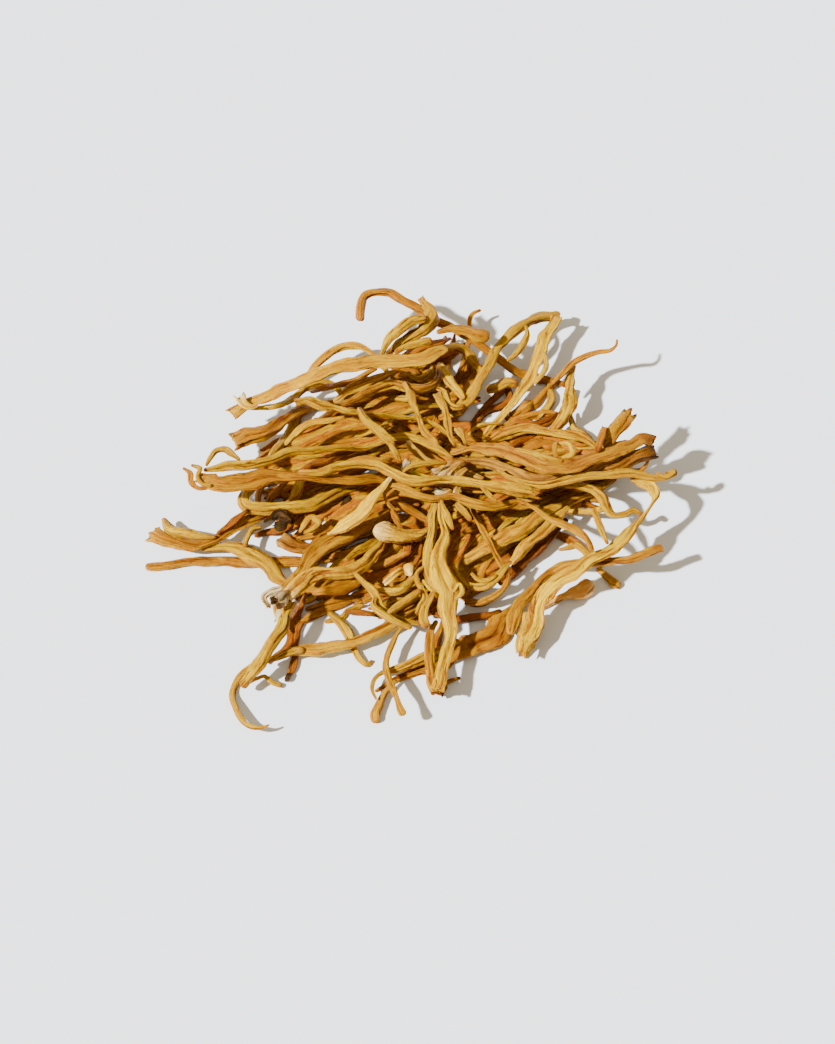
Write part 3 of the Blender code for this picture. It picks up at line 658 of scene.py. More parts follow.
    def faces(self, count: int) -> list[tuple[int, ...]]:
        """The faces between the rings, with a fan at each end."""
        around = self.around
        faces: list[tuple[int, ...]] = []
        for ring in range(count - 1):
            low, high = ring * around, (ring + 1) * around
            for side in range(around):
                after = (side + 1) % around
                faces.append((low + side, low + after, high + after, high + side))
        first, last, top = count * around, count * around + 1, (count - 1) * around
        for side in range(around):
            after = (side + 1) % around
            faces.append((first, after, side))
            faces.append((last, top + side, top + after))
        return faces


@dataclass(frozen=True)
class Grain:
    """A noise in the flesh: how it is stretched by axis, its scale, its detail and its roughness."""

    stretch: tuple[float, float, float]
    scale: float
    detail: float
    roughness: float


class NodeSheet:
    """Short ways to place and join shader nodes in one tree."""

    def __init__(self, tree: bpy.types.NodeTree) -> None:
        """Work in this tree."""
        self.tree = tree

    def node(self, kind: str) -> bpy.types.Node:
        """Place a node."""
        return self.tree.nodes.new(kind)

    def join(self, source: bpy.types.NodeSocket | float, target: bpy.types.NodeSocket) -> None:
        """Link a socket, or set a plain value."""
        if isinstance(source, bpy.types.NodeSocket):
            self.tree.links.new(source, target)
        else:
            target.default_value = source

    def attribute(self, name: str, output: str) -> bpy.types.NodeSocket:
        """Read an attribute of the mesh."""
        node = self.node("ShaderNodeAttribute")
        node.attribute_name = name
        return node.outputs[output]

    def noise(self, vector: bpy.types.NodeSocket, grain: Grain) -> bpy.types.NodeSocket:
        """A noise at these places."""
        stretched = self.node("ShaderNodeVectorMath")
        stretched.operation = "MULTIPLY"
        self.join(vector, stretched.inputs[0])
        stretched.inputs[1].default_value = grain.stretch
        node = self.node("ShaderNodeTexNoise")
        self.join(stretched.outputs["Vector"], node.inputs["Vector"])
        node.inputs["Scale"].default_value = grain.scale
        node.inputs["Detail"].default_value = grain.detail
        node.inputs["Roughness"].default_value = grain.roughness
        return node.outputs["Fac"]

    def ramped(self, value: bpy.types.NodeSocket, low: float, high: float) -> bpy.types.NodeSocket:
        """Spread a value from 0 at low to 1 at high."""
        node = self.node("ShaderNodeMapRange")
        self.join(value, node.inputs["Value"])
        node.inputs["From Min"].default_value = low
        node.inputs["From Max"].default_value = high
        return node.outputs["Result"]

    def math(self, operation: str, *values: bpy.types.NodeSocket | float,
             clamp: bool = False) -> bpy.types.NodeSocket:
        """Work out a value."""
        node = self.node("ShaderNodeMath")
        node.operation = operation
        node.use_clamp = clamp
        for value, target in zip(values, node.inputs):
            self.join(value, target)
        return node.outputs["Value"]

    def mix(self, share: bpy.types.NodeSocket, start: bpy.types.NodeSocket,
            end: bpy.types.NodeSocket) -> bpy.types.NodeSocket:
        """Mix two colours."""
        node = self.node("ShaderNodeMix")
        node.data_type = "RGBA"
        self.join(share, node.inputs["Factor"])
        colours = [socket for socket in node.inputs if socket.type == "RGBA"]
        self.join(start, colours[0])
        self.join(end, colours[1])
        return next(socket for socket in node.outputs if socket.type == "RGBA")


class FleshMaterials:
    """The materials of the dried flesh, from one shared group of shader nodes."""

    ATTRIBUTES = ("crease", "edge", "near_first", "near_last", "tone")
    FIBRES = Grain((1.0, 1.0, 0.07), 1.9, 3.0, 0.6)
    THREADS = Grain((1.0, 1.0, 0.10), 4.2, 2.0, 0.55)
    MOTTLE = Grain((0.5, 0.5, 0.16), 1.0, 3.0, 0.55)
    SPECKS = Grain((1.0, 1.0, 1.0), 6.0, 2.0, 0.5)
    SPLITS = Grain((1.0, 1.0, 0.045), 1.15, 1.5, 0.5)
    SMOOTHER = 0.12
    BUMP_DEPTH = 0.00042
    SHEEN = {
        "Specular IOR Level": 0.26,
        "Specular Tint": (1.0, 0.58, 0.08, 1.0),
        "Subsurface Weight": 0.40,
        "Subsurface Radius": (1.0, 0.32, 0.04),
        "Subsurface Scale": 0.0012,
    }

    def __init__(self) -> None:
        """Build the shared group and one material for each kind of flesh."""
        self.group = self.flesh_group()
        self.by_name = {flesh.name: self.material(flesh) for flesh in FLESHES}

    def flesh_group(self) -> bpy.types.NodeTree:
        """Build the group that colours dried flesh from its furrows, edges and ends."""
        group = self.empty_group()
        sheet = NodeSheet(group)
        given = sheet.node("NodeGroupInput").outputs
        grains = self.grains(sheet)
        roughness = sheet.math("MULTIPLY_ADD", sheet.ramped(grains["threads"], 0.3, 0.7), 0.16,
                               given["Roughness"])
        out = sheet.node("NodeGroupOutput").inputs
        sheet.join(self.colour(sheet, given, grains), out["Colour"])
        sheet.join(roughness, out["Roughness"])
        sheet.join(sheet.math("MULTIPLY", self.height(sheet, grains), given["Wrinkles"]), out["Height"])
        return group

    def empty_group(self) -> bpy.types.NodeTree:
        """Make the group with its inputs and outputs."""
        group = bpy.data.node_groups.new("dried_flesh", "ShaderNodeTree")
        # The crease colour paints shade in furrows, splits, hairline wrinkles and hollow ends and colours
        # specks; the edge colour deepens thin edges, paints shade on the underside and colours stains.
        for name in ("Ridge Colour", "Body Colour", "Crease Colour", "Edge Colour", "First End Colour",
                     "Last End Colour"):
            group.interface.new_socket(name, in_out="INPUT", socket_type="NodeSocketColor")
        for name in ("Roughness", "Wrinkles"):
            group.interface.new_socket(name, in_out="INPUT", socket_type="NodeSocketFloat")
        for name, kind in (("Colour", "Color"), ("Roughness", "Float"), ("Height", "Float")):
            group.interface.new_socket(name, in_out="OUTPUT", socket_type=f"NodeSocket{kind}")
        return group

    def grains(self, sheet: NodeSheet) -> Sockets:
        """The noises of the flesh, and the splits and hairs that run along it."""
        straight = sheet.attribute("straightened", "Vector")
        grains = {
            "fibres": sheet.noise(straight, self.FIBRES),
            "threads": sheet.noise(straight, self.THREADS),
            "mottle": sheet.noise(straight, self.MOTTLE),
            "specks": sheet.noise(straight, self.SPECKS),
        }
        off_split = sheet.math("ABSOLUTE", sheet.math("SUBTRACT", sheet.noise(straight, self.SPLITS), 0.5))
        off_hair = sheet.math("ABSOLUTE", sheet.math("SUBTRACT", grains["threads"], 0.5))
        grains["splits"] = sheet.math("MULTIPLY", sheet.ramped(off_split, 0.028, 0.004),
                                      sheet.ramped(grains["mottle"], 0.42, 0.56))
        grains["hairs"] = sheet.ramped(off_hair, 0.035, 0.0)
        return grains

    def colour(self, sheet: NodeSheet, given: bpy.types.NodeOutputs, grains: Sockets) -> bpy.types.NodeSocket:
        """The colour: body and ridges, then edges and stains, the two ends, and the furrows and specks."""
        # Painted shade among the flesh's own colours: the edge colour shades the underside, and the crease
        # colour shades furrows, splits, hairline wrinkles and hollow ends.
        marks = {name: sheet.attribute(name, "Fac") for name in self.ATTRIBUTES}
        light = sheet.ramped(grains["fibres"], 0.40, 0.66)
        patches = sheet.ramped(grains["mottle"], 0.36, 0.66)
        ridge = sheet.math("MULTIPLY_ADD", light, 0.6, sheet.math("MULTIPLY", patches, 0.4), clamp=True)
        deeper = sheet.math("MULTIPLY", sheet.ramped(marks["tone"], 0.2, -1.0), 0.42)
        # Painted shade: rim follows the edge mark, so it deepens thin edges and shades the underside with the
        # edge colour.
        rim = sheet.math("MULTIPLY", marks["edge"], sheet.ramped(grains["mottle"], 0.30, 0.55), clamp=True)
        stained = sheet.math("MULTIPLY", sheet.ramped(grains["mottle"], 0.44, 0.32), 0.45)
        # Painted shade: shadowed darkens hairline wrinkles, furrows and hollow ends, and the splits darken
        # thin splits, all with the crease colour.
        shadowed = sheet.math("MULTIPLY_ADD", grains["hairs"], 0.38,
                              sheet.math("MULTIPLY", marks["crease"], 0.92))
        layers = (
            (ridge, "Ridge Colour"),
            (deeper, "Body Colour"),
            (sheet.math("MULTIPLY", rim, 0.8), "Edge Colour"),
            (stained, "Edge Colour"),
            (sheet.ramped(marks["near_first"], 0.25, 0.85), "First End Colour"),
            (sheet.ramped(marks["near_last"], 0.30, 0.75), "Last End Colour"),
            (sheet.math("MULTIPLY_ADD", grains["splits"], 0.85, shadowed, clamp=True), "Crease Colour"),
            (sheet.math("MULTIPLY", sheet.ramped(grains["specks"], 0.72, 0.78), 0.6), "Crease Colour"),
        )
        colour = given["Body Colour"]
        for share, name in layers:
            colour = sheet.mix(share, colour, given[name])
        return colour

    def height(self, sheet: NodeSheet, grains: Sockets) -> bpy.types.NodeSocket:
        """The fine relief of fibres and threads, with the splits and hairs sunk in."""
        raised = sheet.math("MULTIPLY_ADD", grains["threads"], 0.8, grains["fibres"])
        sunk = sheet.math("MULTIPLY_ADD", grains["hairs"], 0.12, sheet.math("MULTIPLY", grains["splits"], 0.5))
        return sheet.math("SUBTRACT", raised, sunk)

    def material(self, flesh: Flesh) -> bpy.types.Material:
        """Build the material of one kind of flesh."""
        material = bpy.data.materials.new(flesh.name)
        material.use_nodes = True
        sheet = NodeSheet(material.node_tree)
        surface = material.node_tree.nodes["Principled BSDF"]
        group = sheet.node("ShaderNodeGroup")
        group.node_tree = self.group
        for name, colour in (("Ridge Colour", flesh.ridge), ("Body Colour", flesh.body),
                             ("Crease Colour", flesh.crease), ("Edge Colour", flesh.edge),
                             ("First End Colour", flesh.base), ("Last End Colour", flesh.tip)):
            group.inputs[name].default_value = (*colour, 1.0)
        group.inputs["Roughness"].default_value = flesh.roughness - self.SMOOTHER
        group.inputs["Wrinkles"].default_value = flesh.wrinkles
        bump = sheet.node("ShaderNodeBump")
        bump.inputs["Strength"].default_value = 1.0
        bump.inputs["Distance"].default_value = self.BUMP_DEPTH
        sheet.join(group.outputs["Height"], bump.inputs["Height"])
        sheet.join(group.outputs["Colour"], surface.inputs["Base Color"])
        sheet.join(group.outputs["Roughness"], surface.inputs["Roughness"])
        sheet.join(bump.outputs["Normal"], surface.inputs["Normal"])
        for name, value in self.SHEEN.items():
            surface.inputs[name].default_value = value
        return material


class PieceMaker:
    """Joins skins into one mesh with its materials and marks."""

    def __init__(self, materials: FleshMaterials) -> None:
        """Use these materials."""
        self.materials = materials

    def make(self, name: str, skins: list[Skin]) -> bpy.types.Object:
        """Make one piece.

        Args:
            name: The piece's name.
            skins: The skins in it.

        Returns:
            The new object, riding on the heap.
        """
        faces: list[tuple[int, ...]] = []
        slots: list[int] = []
        used: list[Flesh] = []
        start = 0
        for skin in skins:
            if skin.flesh not in used:
                used.append(skin.flesh)
            faces.extend(tuple(point + start for point in face) for face in skin.faces)
            slots.extend([used.index(skin.flesh)] * len(skin.faces))
            start += len(skin.points)
        mesh = bpy.data.meshes.new(name)
        points = np.vstack([skin.points for skin in skins]) * METRES_PER_MM
        mesh.from_pydata(points.tolist(), [], faces)
        for mark in skins[0].marks:
            layer = mesh.attributes.new(mark, "FLOAT", "POINT")
            layer.data.foreach_set("value", np.concatenate([skin.marks[mark] for skin in skins]))
        layer = mesh.attributes.new("straightened", "FLOAT_VECTOR", "POINT")
        layer.data.foreach_set("vector", np.vstack([skin.straightened for skin in skins]).reshape(-1))
        for flesh in used:
            mesh.materials.append(self.materials.by_name[flesh.name])
        mesh.polygons.foreach_set("material_index", slots)
        mesh.shade_smooth()
        piece = bpy.data.objects.new(name, mesh)
        bpy.context.scene.collection.objects.link(piece)
        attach(piece, BODY)
        LOG.info("%s: %d faces", name, len(faces))
        return piece

    def make_by_flesh(self, name: str, skins: list[Skin]) -> None:
        """Make one piece of each kind of flesh among these skins."""
        for flesh in dict.fromkeys(skin.flesh.name for skin in skins):
            self.make(f"{name}_{flesh}", [skin for skin in skins if skin.flesh.name == flesh])


class SightMap:
    """How high the heap is, in mm, where the line of sight through each pixel first meets it.

    STEP is in mm. REACH and BLUR, which make the broad shape, are in pixels.
    """

    STEP = 0.2
    REACH = 22
    BLUR = 18
    SLOPE = math.sin(PICTURE.elevation)

    def __init__(self) -> None:
        """Start with the bare table."""
        self.height = np.zeros((int(PICTURE.width), int(PICTURE.height)))

    def cell_of(self, pixels: np.ndarray) -> tuple[np.ndarray, np.ndarray]:
        """The map's cell for each pixel."""
        cells = np.clip(np.round(pixels).astype(int), 0, np.array(self.height.shape) - 1)
        return cells[..., 0], cells[..., 1]

    def paint(self, line: StalkLine) -> None:
        """Put a stalk on the map where it is nearer to the eye than what is there."""
        run = line.run
        fine = np.linspace(0.0, run[-1], max(int(run[-1] / self.STEP), 4))
        middle = np.stack([np.interp(fine, run, line.places[:, axis]) for axis in range(3)], axis=1)
        width = np.interp(fine, run, line.half_width)
        thickness = np.interp(fine, run, line.half_height)
        eye = PICTURE.eye - np.array([*PICTURE.heap_centre, 0.0])
        to_eye = unit_rows(eye - middle)
        across = unit_rows(np.cross(unit_rows(np.gradient(middle, axis=0)), to_eye))
        offsets = np.linspace(-1.0, 1.0, int(2 * width.max() / self.STEP) + 3)
        spread = (offsets[None, :] * width[:, None])[..., None] * across[:, None, :]
        bulge = (np.sqrt(1.0 - offsets[None, :] ** 2) * thickness[:, None])[..., None] * to_eye[:, None, :]
        front = middle[:, None, :] + spread + bulge
        np.maximum.at(self.height, self.cell_of(PICTURE.pixels(front)), front[..., 2])

    def under(self, route: np.ndarray) -> tuple[np.ndarray, np.ndarray, np.ndarray]:
        """Read the map under a route.

        Args:
            route: Rows of x px, y px and width px.

        Returns:
            The length in mm along the route of each row of samples, the map's heights there, and how far a
            round stalk's skin bulges there towards the eye, as a height in mm.
        """
        run = run_along(route[:, :2])
        fine = np.linspace(0.0, run[-1], int(run[-1]) + 4)
        middle = smooth_through(run, route, fine)
        ways = unit_rows(np.gradient(middle[:, :2], axis=0))
        sideways = np.stack([-ways[:, 1], ways[:, 0]], axis=1)
        half = middle[:, 2] / 2.0
        offsets = np.linspace(-1.0, 1.0, int(2 * half.max()) + 3)
        spots = middle[:, None, :2] + (offsets[None, :] * half[:, None])[..., None] * sideways[:, None, :]
        bulge = np.sqrt(1.0 - offsets[None, :] ** 2) * half[:, None] * PICTURE.mm_per_pixel * self.SLOPE
        return fine * PICTURE.mm_per_pixel, self.height[self.cell_of(spots)], bulge

    def broad(self) -> np.ndarray:
        """The heap's broad shape: the map spread out and blurred."""
        shape = self.height.copy()
        for reach, together in ((self.REACH, np.max), (self.BLUR, np.mean)):
            for axis in (0, 1):
                shifts = [np.roll(shape, shift, axis) for shift in range(-reach, reach + 1)]
                shape = together(shifts, axis=0)
        return shape


@dataclass(frozen=True)
class Twig:
    """A smaller stalk that the picture shows: its route as (x px, y px, width px), and where it lies.

    depth is 1 on top of the heap, or its height as a share of the heap's height there. levels, where it is
    given, holds the heights in mm of the route's first and last point instead.
    """

    name: str
    route: Route
    look: Look = Look()
    depth: float = 1.0
    levels: tuple[float, float] | None = None
    thickness: float = 0.82
    seen: bool = True


class TwigLayer:
    """Lays smaller stalks on the heap, or tucks them into it, by what the picture's lines of sight meet.

    A twig on top bends down over the heap by BEND_RADIUS and beds into it by SINK. A tucked one sags by
    SAG_RADIUS, stays ROOM under what is in front of it, and runs on by TUCK pixels past its ends, which dive
    to a share of their height. STEP is the length in pixels between the points of its line.
    """

    BEND_RADIUS = 30.0
    SINK = 0.35
    SAG_RADIUS = 12.0
    ROOM = 2.1
    TUCK = 8.0
    DIVE = 0.8
    STEP = 7.0
    THINNER = 0.8
    OPEN = 99.0

    def __init__(self, heap: SightMap) -> None:
        """Use this map, and the heap's broad shape before any twig lies on it."""
        self.heap = heap
        self.broad = heap.broad()
        self.roof = SOLID_BOX[1][2] / METRES_PER_MM

    def line(self, twig: Twig) -> StalkLine:
        """Find where a twig lies.

        Args:
            twig: The twig.

        Returns:
            Its line. The map is raised over it, unless it is one that the picture doesn't show.
        """
        route = self.close_route(twig)
        run = run_along(route[:, :2]) * PICTURE.mm_per_pixel
        half = route[:, 2] / 2.0 * PICTURE.mm_per_pixel
        least = half * twig.thickness
        if twig.levels:
            heights = np.interp(run, [0.0, run[-1]], twig.levels)
        elif twig.depth < 1.0:
            heights = self.tucked(route, run, twig.depth)
        else:
            heights = self.on_top(route, run)
        line = self.at(route, half, np.clip(heights, least, self.roof - least), twig.thickness)
        if twig.seen:
            self.heap.paint(line)
        return line

    def close_route(self, twig: Twig) -> np.ndarray:
        """The twig's route with points a few pixels apart, run on under the heap where it is tucked in."""
        route = np.array(twig.route, dtype=float)
        if twig.depth < 1.0 and not twig.levels:
            before, after = self.beyond(route[0], route[1]), self.beyond(route[-1], route[-2])
            route = np.vstack([before, route, after])
        run = run_along(route[:, :2])
        return smooth_through(run, route, np.linspace(0.0, run[-1], max(int(run[-1] / self.STEP), 4)))

    def beyond(self, end: np.ndarray, inner: np.ndarray) -> np.ndarray:
        """A thinner point past the end of a route, on the line from its inner neighbour."""
        further = end + (end - inner) / np.linalg.norm(end[:2] - inner[:2]) * self.TUCK
        return np.array([*further[:2], self.THINNER * end[2]])

    def on_top(self, route: np.ndarray, run: np.ndarray) -> np.ndarray:
        """Heights at which a twig lies in front of all that the picture shows under it."""
        fine, heap, bulge = self.heap.under(route)
        least = np.max(np.where(heap > 0.0, heap - self.SINK, 0.0) + bulge, axis=1)
        apart = run[:, None] - fine[None, :]
        return np.max(least[None, :] - apart**2 / (2.0 * self.BEND_RADIUS), axis=1)

    def tucked(self, route: np.ndarray, run: np.ndarray, share: float) -> np.ndarray:
        """Heights at this share of the heap's, behind all that the picture shows over them."""
        fine, heap, bulge = self.heap.under(route)
        ceiling = np.where(heap > 0.0, heap - self.ROOM, self.OPEN)
        roof = np.min(ceiling - bulge.max(axis=1, keepdims=True), axis=1)
        apart = run[:, None] - fine[None, :]
        under = np.min(roof[None, :] + apart**2 / (2.0 * self.SAG_RADIUS), axis=1)
        wanted = self.broad[self.heap.cell_of(route[:, :2])] * share
        around = np.convolve(np.pad(wanted, 2, "edge"), np.ones(5) / 5.0, "valid")
        around[[0, -1]] *= self.DIVE
        return np.minimum(around, under)

    def at(self, route: np.ndarray, half: np.ndarray, heights: np.ndarray, thickness: float) -> StalkLine:
        """The twig's line at these heights."""
        places = PICTURE.places(route[:, :2], heights)
        ways = unit_rows(np.gradient(places[:, :2], axis=0))
        sideways = np.stack([-ways[:, 1], ways[:, 0], np.zeros(len(ways))], axis=1)
        return StalkLine(places, sideways, half, half * thickness)


@dataclass
class TwigGroup:
    """The smaller stalks of one part of the heap, with the step and the points around of their skins."""

    name: str
    twigs: list[Twig]
    step: float = 0.45
    around: int = 20

    def build(self, layer: TwigLayer, pieces: PieceMaker) -> None:
        """Lay the twigs and make one piece of each kind of flesh."""
        pieces.make_by_flesh(self.name, [
            StalkMaker(layer.line(twig), twig.look, twig.name, self.step, self.around).make()
            for twig in self.twigs
        ])


SLIM = Look(GOLDEN, End.POINT, End.POINT, furrows=2, depth=0.22, knobs=0.10)
SLIM_BRIGHT = replace(SLIM, flesh=BRIGHT)
# The orange, amber and brown slim looks go mostly to twigs tucked into the heap, and their darker, redder
# flesh paints the shade in there.
SLIM_ORANGE = replace(SLIM, flesh=ORANGE, depth=0.24)
SLIM_AMBER = replace(SLIM, flesh=AMBER, depth=0.24)
SLIM_BROWN = replace(SLIM, flesh=BROWN, depth=0.24, knobs=0.12)
SLIM_PALE = replace(SLIM, flesh=PALE, depth=0.18, knobs=0.14)
SLIM_TAN = Look(TAN, End.CUT, End.POINT, furrows=3, depth=0.26, knobs=0.14)
CLUBBED = Look(GOLDEN, End.POINT, End.CLUB, furrows=2)
BLUNT = Look(GOLDEN, End.CLUB, End.CLUB, furrows=2, depth=0.2, knobs=0.10)
BLUNT_PALE = Look(PALE, End.CLUB, End.CLUB, furrows=2, depth=0.12, knobs=0.08, rings=0.015)
KNOTTY = Look(OLIVE, End.CUT, End.POINT, furrows=3, depth=0.34, knobs=0.3, facets=0.16)
BLADE = Look(GOLDEN, End.POINT, End.POINT, furrows=2, depth=0.12, hollow=0.5, folds=0.3)
CRUMPLED = Look(TAN, End.TORN, End.POINT, furrows=5, depth=0.4, knobs=0.25)


def back_twigs() -> TwigGroup:
    """The smaller stalks at the back of the heap."""
    return TwigGroup("back_twigs", [
        Twig("fork_left", [(553, 386, 7), (545, 393, 7), (537, 401, 7), (528, 407, 8), (517, 414, 7)],
             SLIM_ORANGE, 0.6),
        Twig("fork_right", [(549, 387, 6), (552, 398, 8), (548, 408, 8), (541, 415, 7)], SLIM, 0.6),
        Twig("left_shaded", [(318, 390, 6), (338, 385, 6), (355, 379, 6), (370, 372, 6)], SLIM_ORANGE, 0.5),
        Twig("short_broad", [(432, 340, 9), (419, 343, 10), (406, 347, 9), (395, 353, 7)], BLADE),
        Twig("bend", [(446, 347, 8), (456, 347, 8), (466, 353, 9), (473, 362, 9), (480, 371, 8)], SLIM, 0.9),
        Twig("split", [(439, 363, 8), (448, 375, 10), (457, 388, 10), (464, 399, 8)], SLIM_BRIGHT),
        Twig("small_arch", [(258, 408, 5), (275, 406, 6), (290, 400, 7), (302, 391, 6), (314, 385, 6),
                            (326, 383, 6), (336, 387, 6), (342, 394, 6)], SLIM, 0.75),
        Twig("back_tip", [(458, 372, 5), (464, 360, 6), (468, 346, 5), (470, 334, 5), (470, 322, 4),
                          (474, 313, 4), (481, 310, 4)], SLIM_ORANGE, levels=(6.0, 6.0)),
        Twig("arch_root", [(371, 354, 6), (378, 361, 6), (387, 370, 6), (396, 381, 6)], SLIM,
             levels=(9.0, 6.5)),
        Twig("arch_foot", [(312, 369, 6), (308, 375, 6), (303, 383, 6), (299, 389, 5)], SLIM,
             levels=(3.5, 3.0)),
        Twig("ribbon_split", [(543, 352, 4), (546, 363, 5), (542, 374, 5), (534, 384, 4)], SLIM_BRIGHT),
        Twig("arch_branch", [(525, 324, 4), (527, 334, 5), (522, 344, 6), (516, 353, 6), (507, 361, 5)],
             SLIM),
        Twig("yellow_club", [(486, 390, 8), (497, 387, 9), (507, 382, 9), (518, 384, 8)], BLUNT),
        Twig("upper_stub", [(437, 388, 7), (445, 392, 8), (449, 400, 8), (455, 407, 9), (464, 407, 8)], SLIM),
        Twig("under_twig", [(402, 413, 6), (415, 409, 6), (430, 407, 6), (447, 406, 6)], SLIM, 0.9),
        Twig("under_twig_2", [(425, 420, 6), (437, 414, 6), (450, 412, 7)], SLIM_ORANGE, 0.85),
        Twig("curl_over", [(468, 437, 4), (476, 427, 4), (487, 424, 4), (500, 424, 4)], SLIM),
        Twig("left_twig", [(368, 408, 6), (380, 402, 6), (395, 398, 6), (411, 398, 6)], SLIM, 0.9),
        Twig("wavy_twig", [(398, 376, 4), (410, 375, 4), (420, 379, 5), (428, 374, 5), (433, 366, 4)], SLIM),
        Twig("pale_twisted", [(404, 383, 4), (410, 394, 6), (413, 405, 6), (419, 417, 4), (424, 430, 5),
                              (433, 439, 4), (440, 445, 4)], KNOTTY),
        Twig("pale_upright", [(437, 394, 7), (441, 404, 6), (446, 414, 6), (448, 425, 6), (450, 436, 5),
                              (456, 447, 4)], KNOTTY),
        Twig("dark_knot", [(505, 425, 6), (518, 419, 7), (530, 416, 7), (545, 413, 7), (558, 415, 6)],
             SLIM_ORANGE, 0.85),
        Twig("dark_knot_2", [(516, 411, 8), (527, 405, 13), (534, 402, 6)], SLIM_ORANGE, 0.7),
        Twig("right_prop", [(571, 418, 6), (574, 428, 7), (583, 436, 8), (595, 446, 6)], SLIM, 0.85),
        Twig("hidden_run", [(392, 366, 6), (410, 371, 7), (428, 384, 7), (440, 379, 7)], SLIM_ORANGE, 0.7),
        Twig("hidden_run_2", [(380, 390, 7), (400, 386, 7), (420, 390, 7), (445, 386, 6)], SLIM, 0.8),
        Twig("hidden_run_3", [(352, 396, 7), (372, 388, 8), (392, 380, 7), (412, 384, 6)], SLIM, 0.85),
        Twig("stem_left", [(478, 372, 9), (470, 388, 10), (460, 402, 10), (448, 416, 9)], SLIM_ORANGE, 0.75),
        Twig("dotted_twig", [(508, 384, 5), (497, 396, 7), (484, 408, 6), (472, 424, 5)], SLIM_BROWN, 0.6),
        Twig("whitish_stub", [(458, 428, 5), (462, 436, 6), (467, 446, 5)], KNOTTY),
    ])


def left_twigs() -> TwigGroup:
    """The smaller stalks at the left."""
    return TwigGroup("left_twigs", [
        Twig("upper_lobe", [(163, 518, 6), (168, 526, 11), (185, 533, 10), (202, 537, 8), (216, 537, 6)],
             BLADE),
        Twig("left_leg", [(272, 456, 8), (282, 442, 9), (291, 428, 10), (300, 415, 10), (314, 408, 8)],
             SLIM, 0.85),
        Twig("upper_run", [(285, 445, 6), (297, 432, 7), (310, 424, 6), (325, 421, 6), (345, 417, 6)], SLIM),
        Twig("upper_run_2", [(316, 447, 5), (330, 440, 6), (345, 437, 6), (365, 434, 6), (385, 427, 6)], SLIM,
             0.9),
        Twig("crossing", [(358, 408, 8), (366, 418, 10), (376, 428, 11), (386, 438, 10), (394, 448, 9)],
             SLIM),
        Twig("short_cross", [(383, 428, 8), (391, 422, 8), (401, 413, 7)], SLIM, 0.9),
        Twig("brown_leaf", [(217, 534, 5), (228, 526, 7), (240, 516, 6), (249, 510, 5)], SLIM_BROWN),
        Twig("down_curl", [(262, 527, 6), (251, 530, 6), (246, 539, 6), (245, 547, 6)], SLIM),
        Twig("end_curl", [(209, 487, 6), (198, 488, 5), (191, 481, 5), (191, 474, 5), (187, 469, 5),
                          (183, 468, 4)], SLIM_ORANGE),
        Twig("end_curl_2", [(212, 486, 6), (202, 484, 5), (197, 477, 4), (202, 471, 5), (197, 466, 5),
                            (191, 465, 4)], SLIM),
        Twig("top_curl", [(240, 460, 5), (232, 454, 6), (223, 449, 6), (214, 452, 5), (209, 460, 5),
                          (206, 466, 4)], SLIM),
        Twig("pale_broad", [(301, 481, 12), (296, 490, 15), (290, 499, 12)], SLIM_PALE, 0.85),
        Twig("short_left", [(283, 485, 7), (275, 493, 8), (268, 503, 7)], SLIM_ORANGE, 0.85),
        Twig("short_left_2", [(262, 487, 7), (256, 494, 7), (259, 501, 6)], SLIM_ORANGE, 0.85),
        Twig("dark_middle", [(305, 470, 8), (320, 463, 10), (335, 457, 9), (350, 452, 7)], SLIM_BROWN, 0.75),
        Twig("dark_middle_2", [(330, 472, 7), (348, 464, 8), (366, 460, 8), (384, 462, 7)], SLIM_ORANGE, 0.8),
        Twig("inner_left", [(300, 494, 6), (318, 486, 7), (336, 484, 7), (356, 488, 6)], SLIM_ORANGE, 0.85),
        Twig("inner_left_2", [(316, 508, 6), (330, 502, 7), (344, 496, 6), (360, 490, 6)], SLIM_TAN, 0.9),
        Twig("small_loop", [(322, 502, 4), (320, 512, 4), (327, 520, 4), (336, 522, 4), (341, 512, 4),
                            (338, 503, 4)], SLIM_ORANGE, 0.9),
        Twig("ring_core", [(304, 526, 6), (309, 519, 6), (317, 519, 6), (318, 527, 6), (311, 530, 6)],
             SLIM_AMBER, 0.7),
        Twig("under_left", [(262, 534, 7), (285, 528, 7), (300, 515, 7), (318, 508, 7)], SLIM_BROWN, 0.6),
        Twig("torn_leaf", [(240, 398, 10), (243, 403, 10), (250, 407, 8), (258, 406, 5)],
             Look(PALE, End.TORN, End.POINT, furrows=4, depth=0.24, folds=0.3), levels=(13.2, 13.0)),
        # Painted shade: a blackened twig fills the dark gap here.
        Twig("black_gap", [(340, 507, 7), (347, 501, 10), (355, 496, 7)],
             Look(BLACKENED, End.POINT, End.POINT, furrows=3, depth=0.4, knobs=0.3), 0.5),
        Twig("black_lump", [(272, 518, 6), (279, 515, 9), (286, 518, 8), (292, 522, 5)],
             Look(BLACKENED, End.TORN, End.TORN, furrows=5, depth=0.5, knobs=0.5, facets=0.2)),
        Twig("black_lump_2", [(275, 526, 6), (283, 525, 8), (290, 519, 5)],
             Look(BLACKENED, End.TORN, End.POINT, furrows=4, depth=0.5, knobs=0.5, facets=0.2)),
    ])


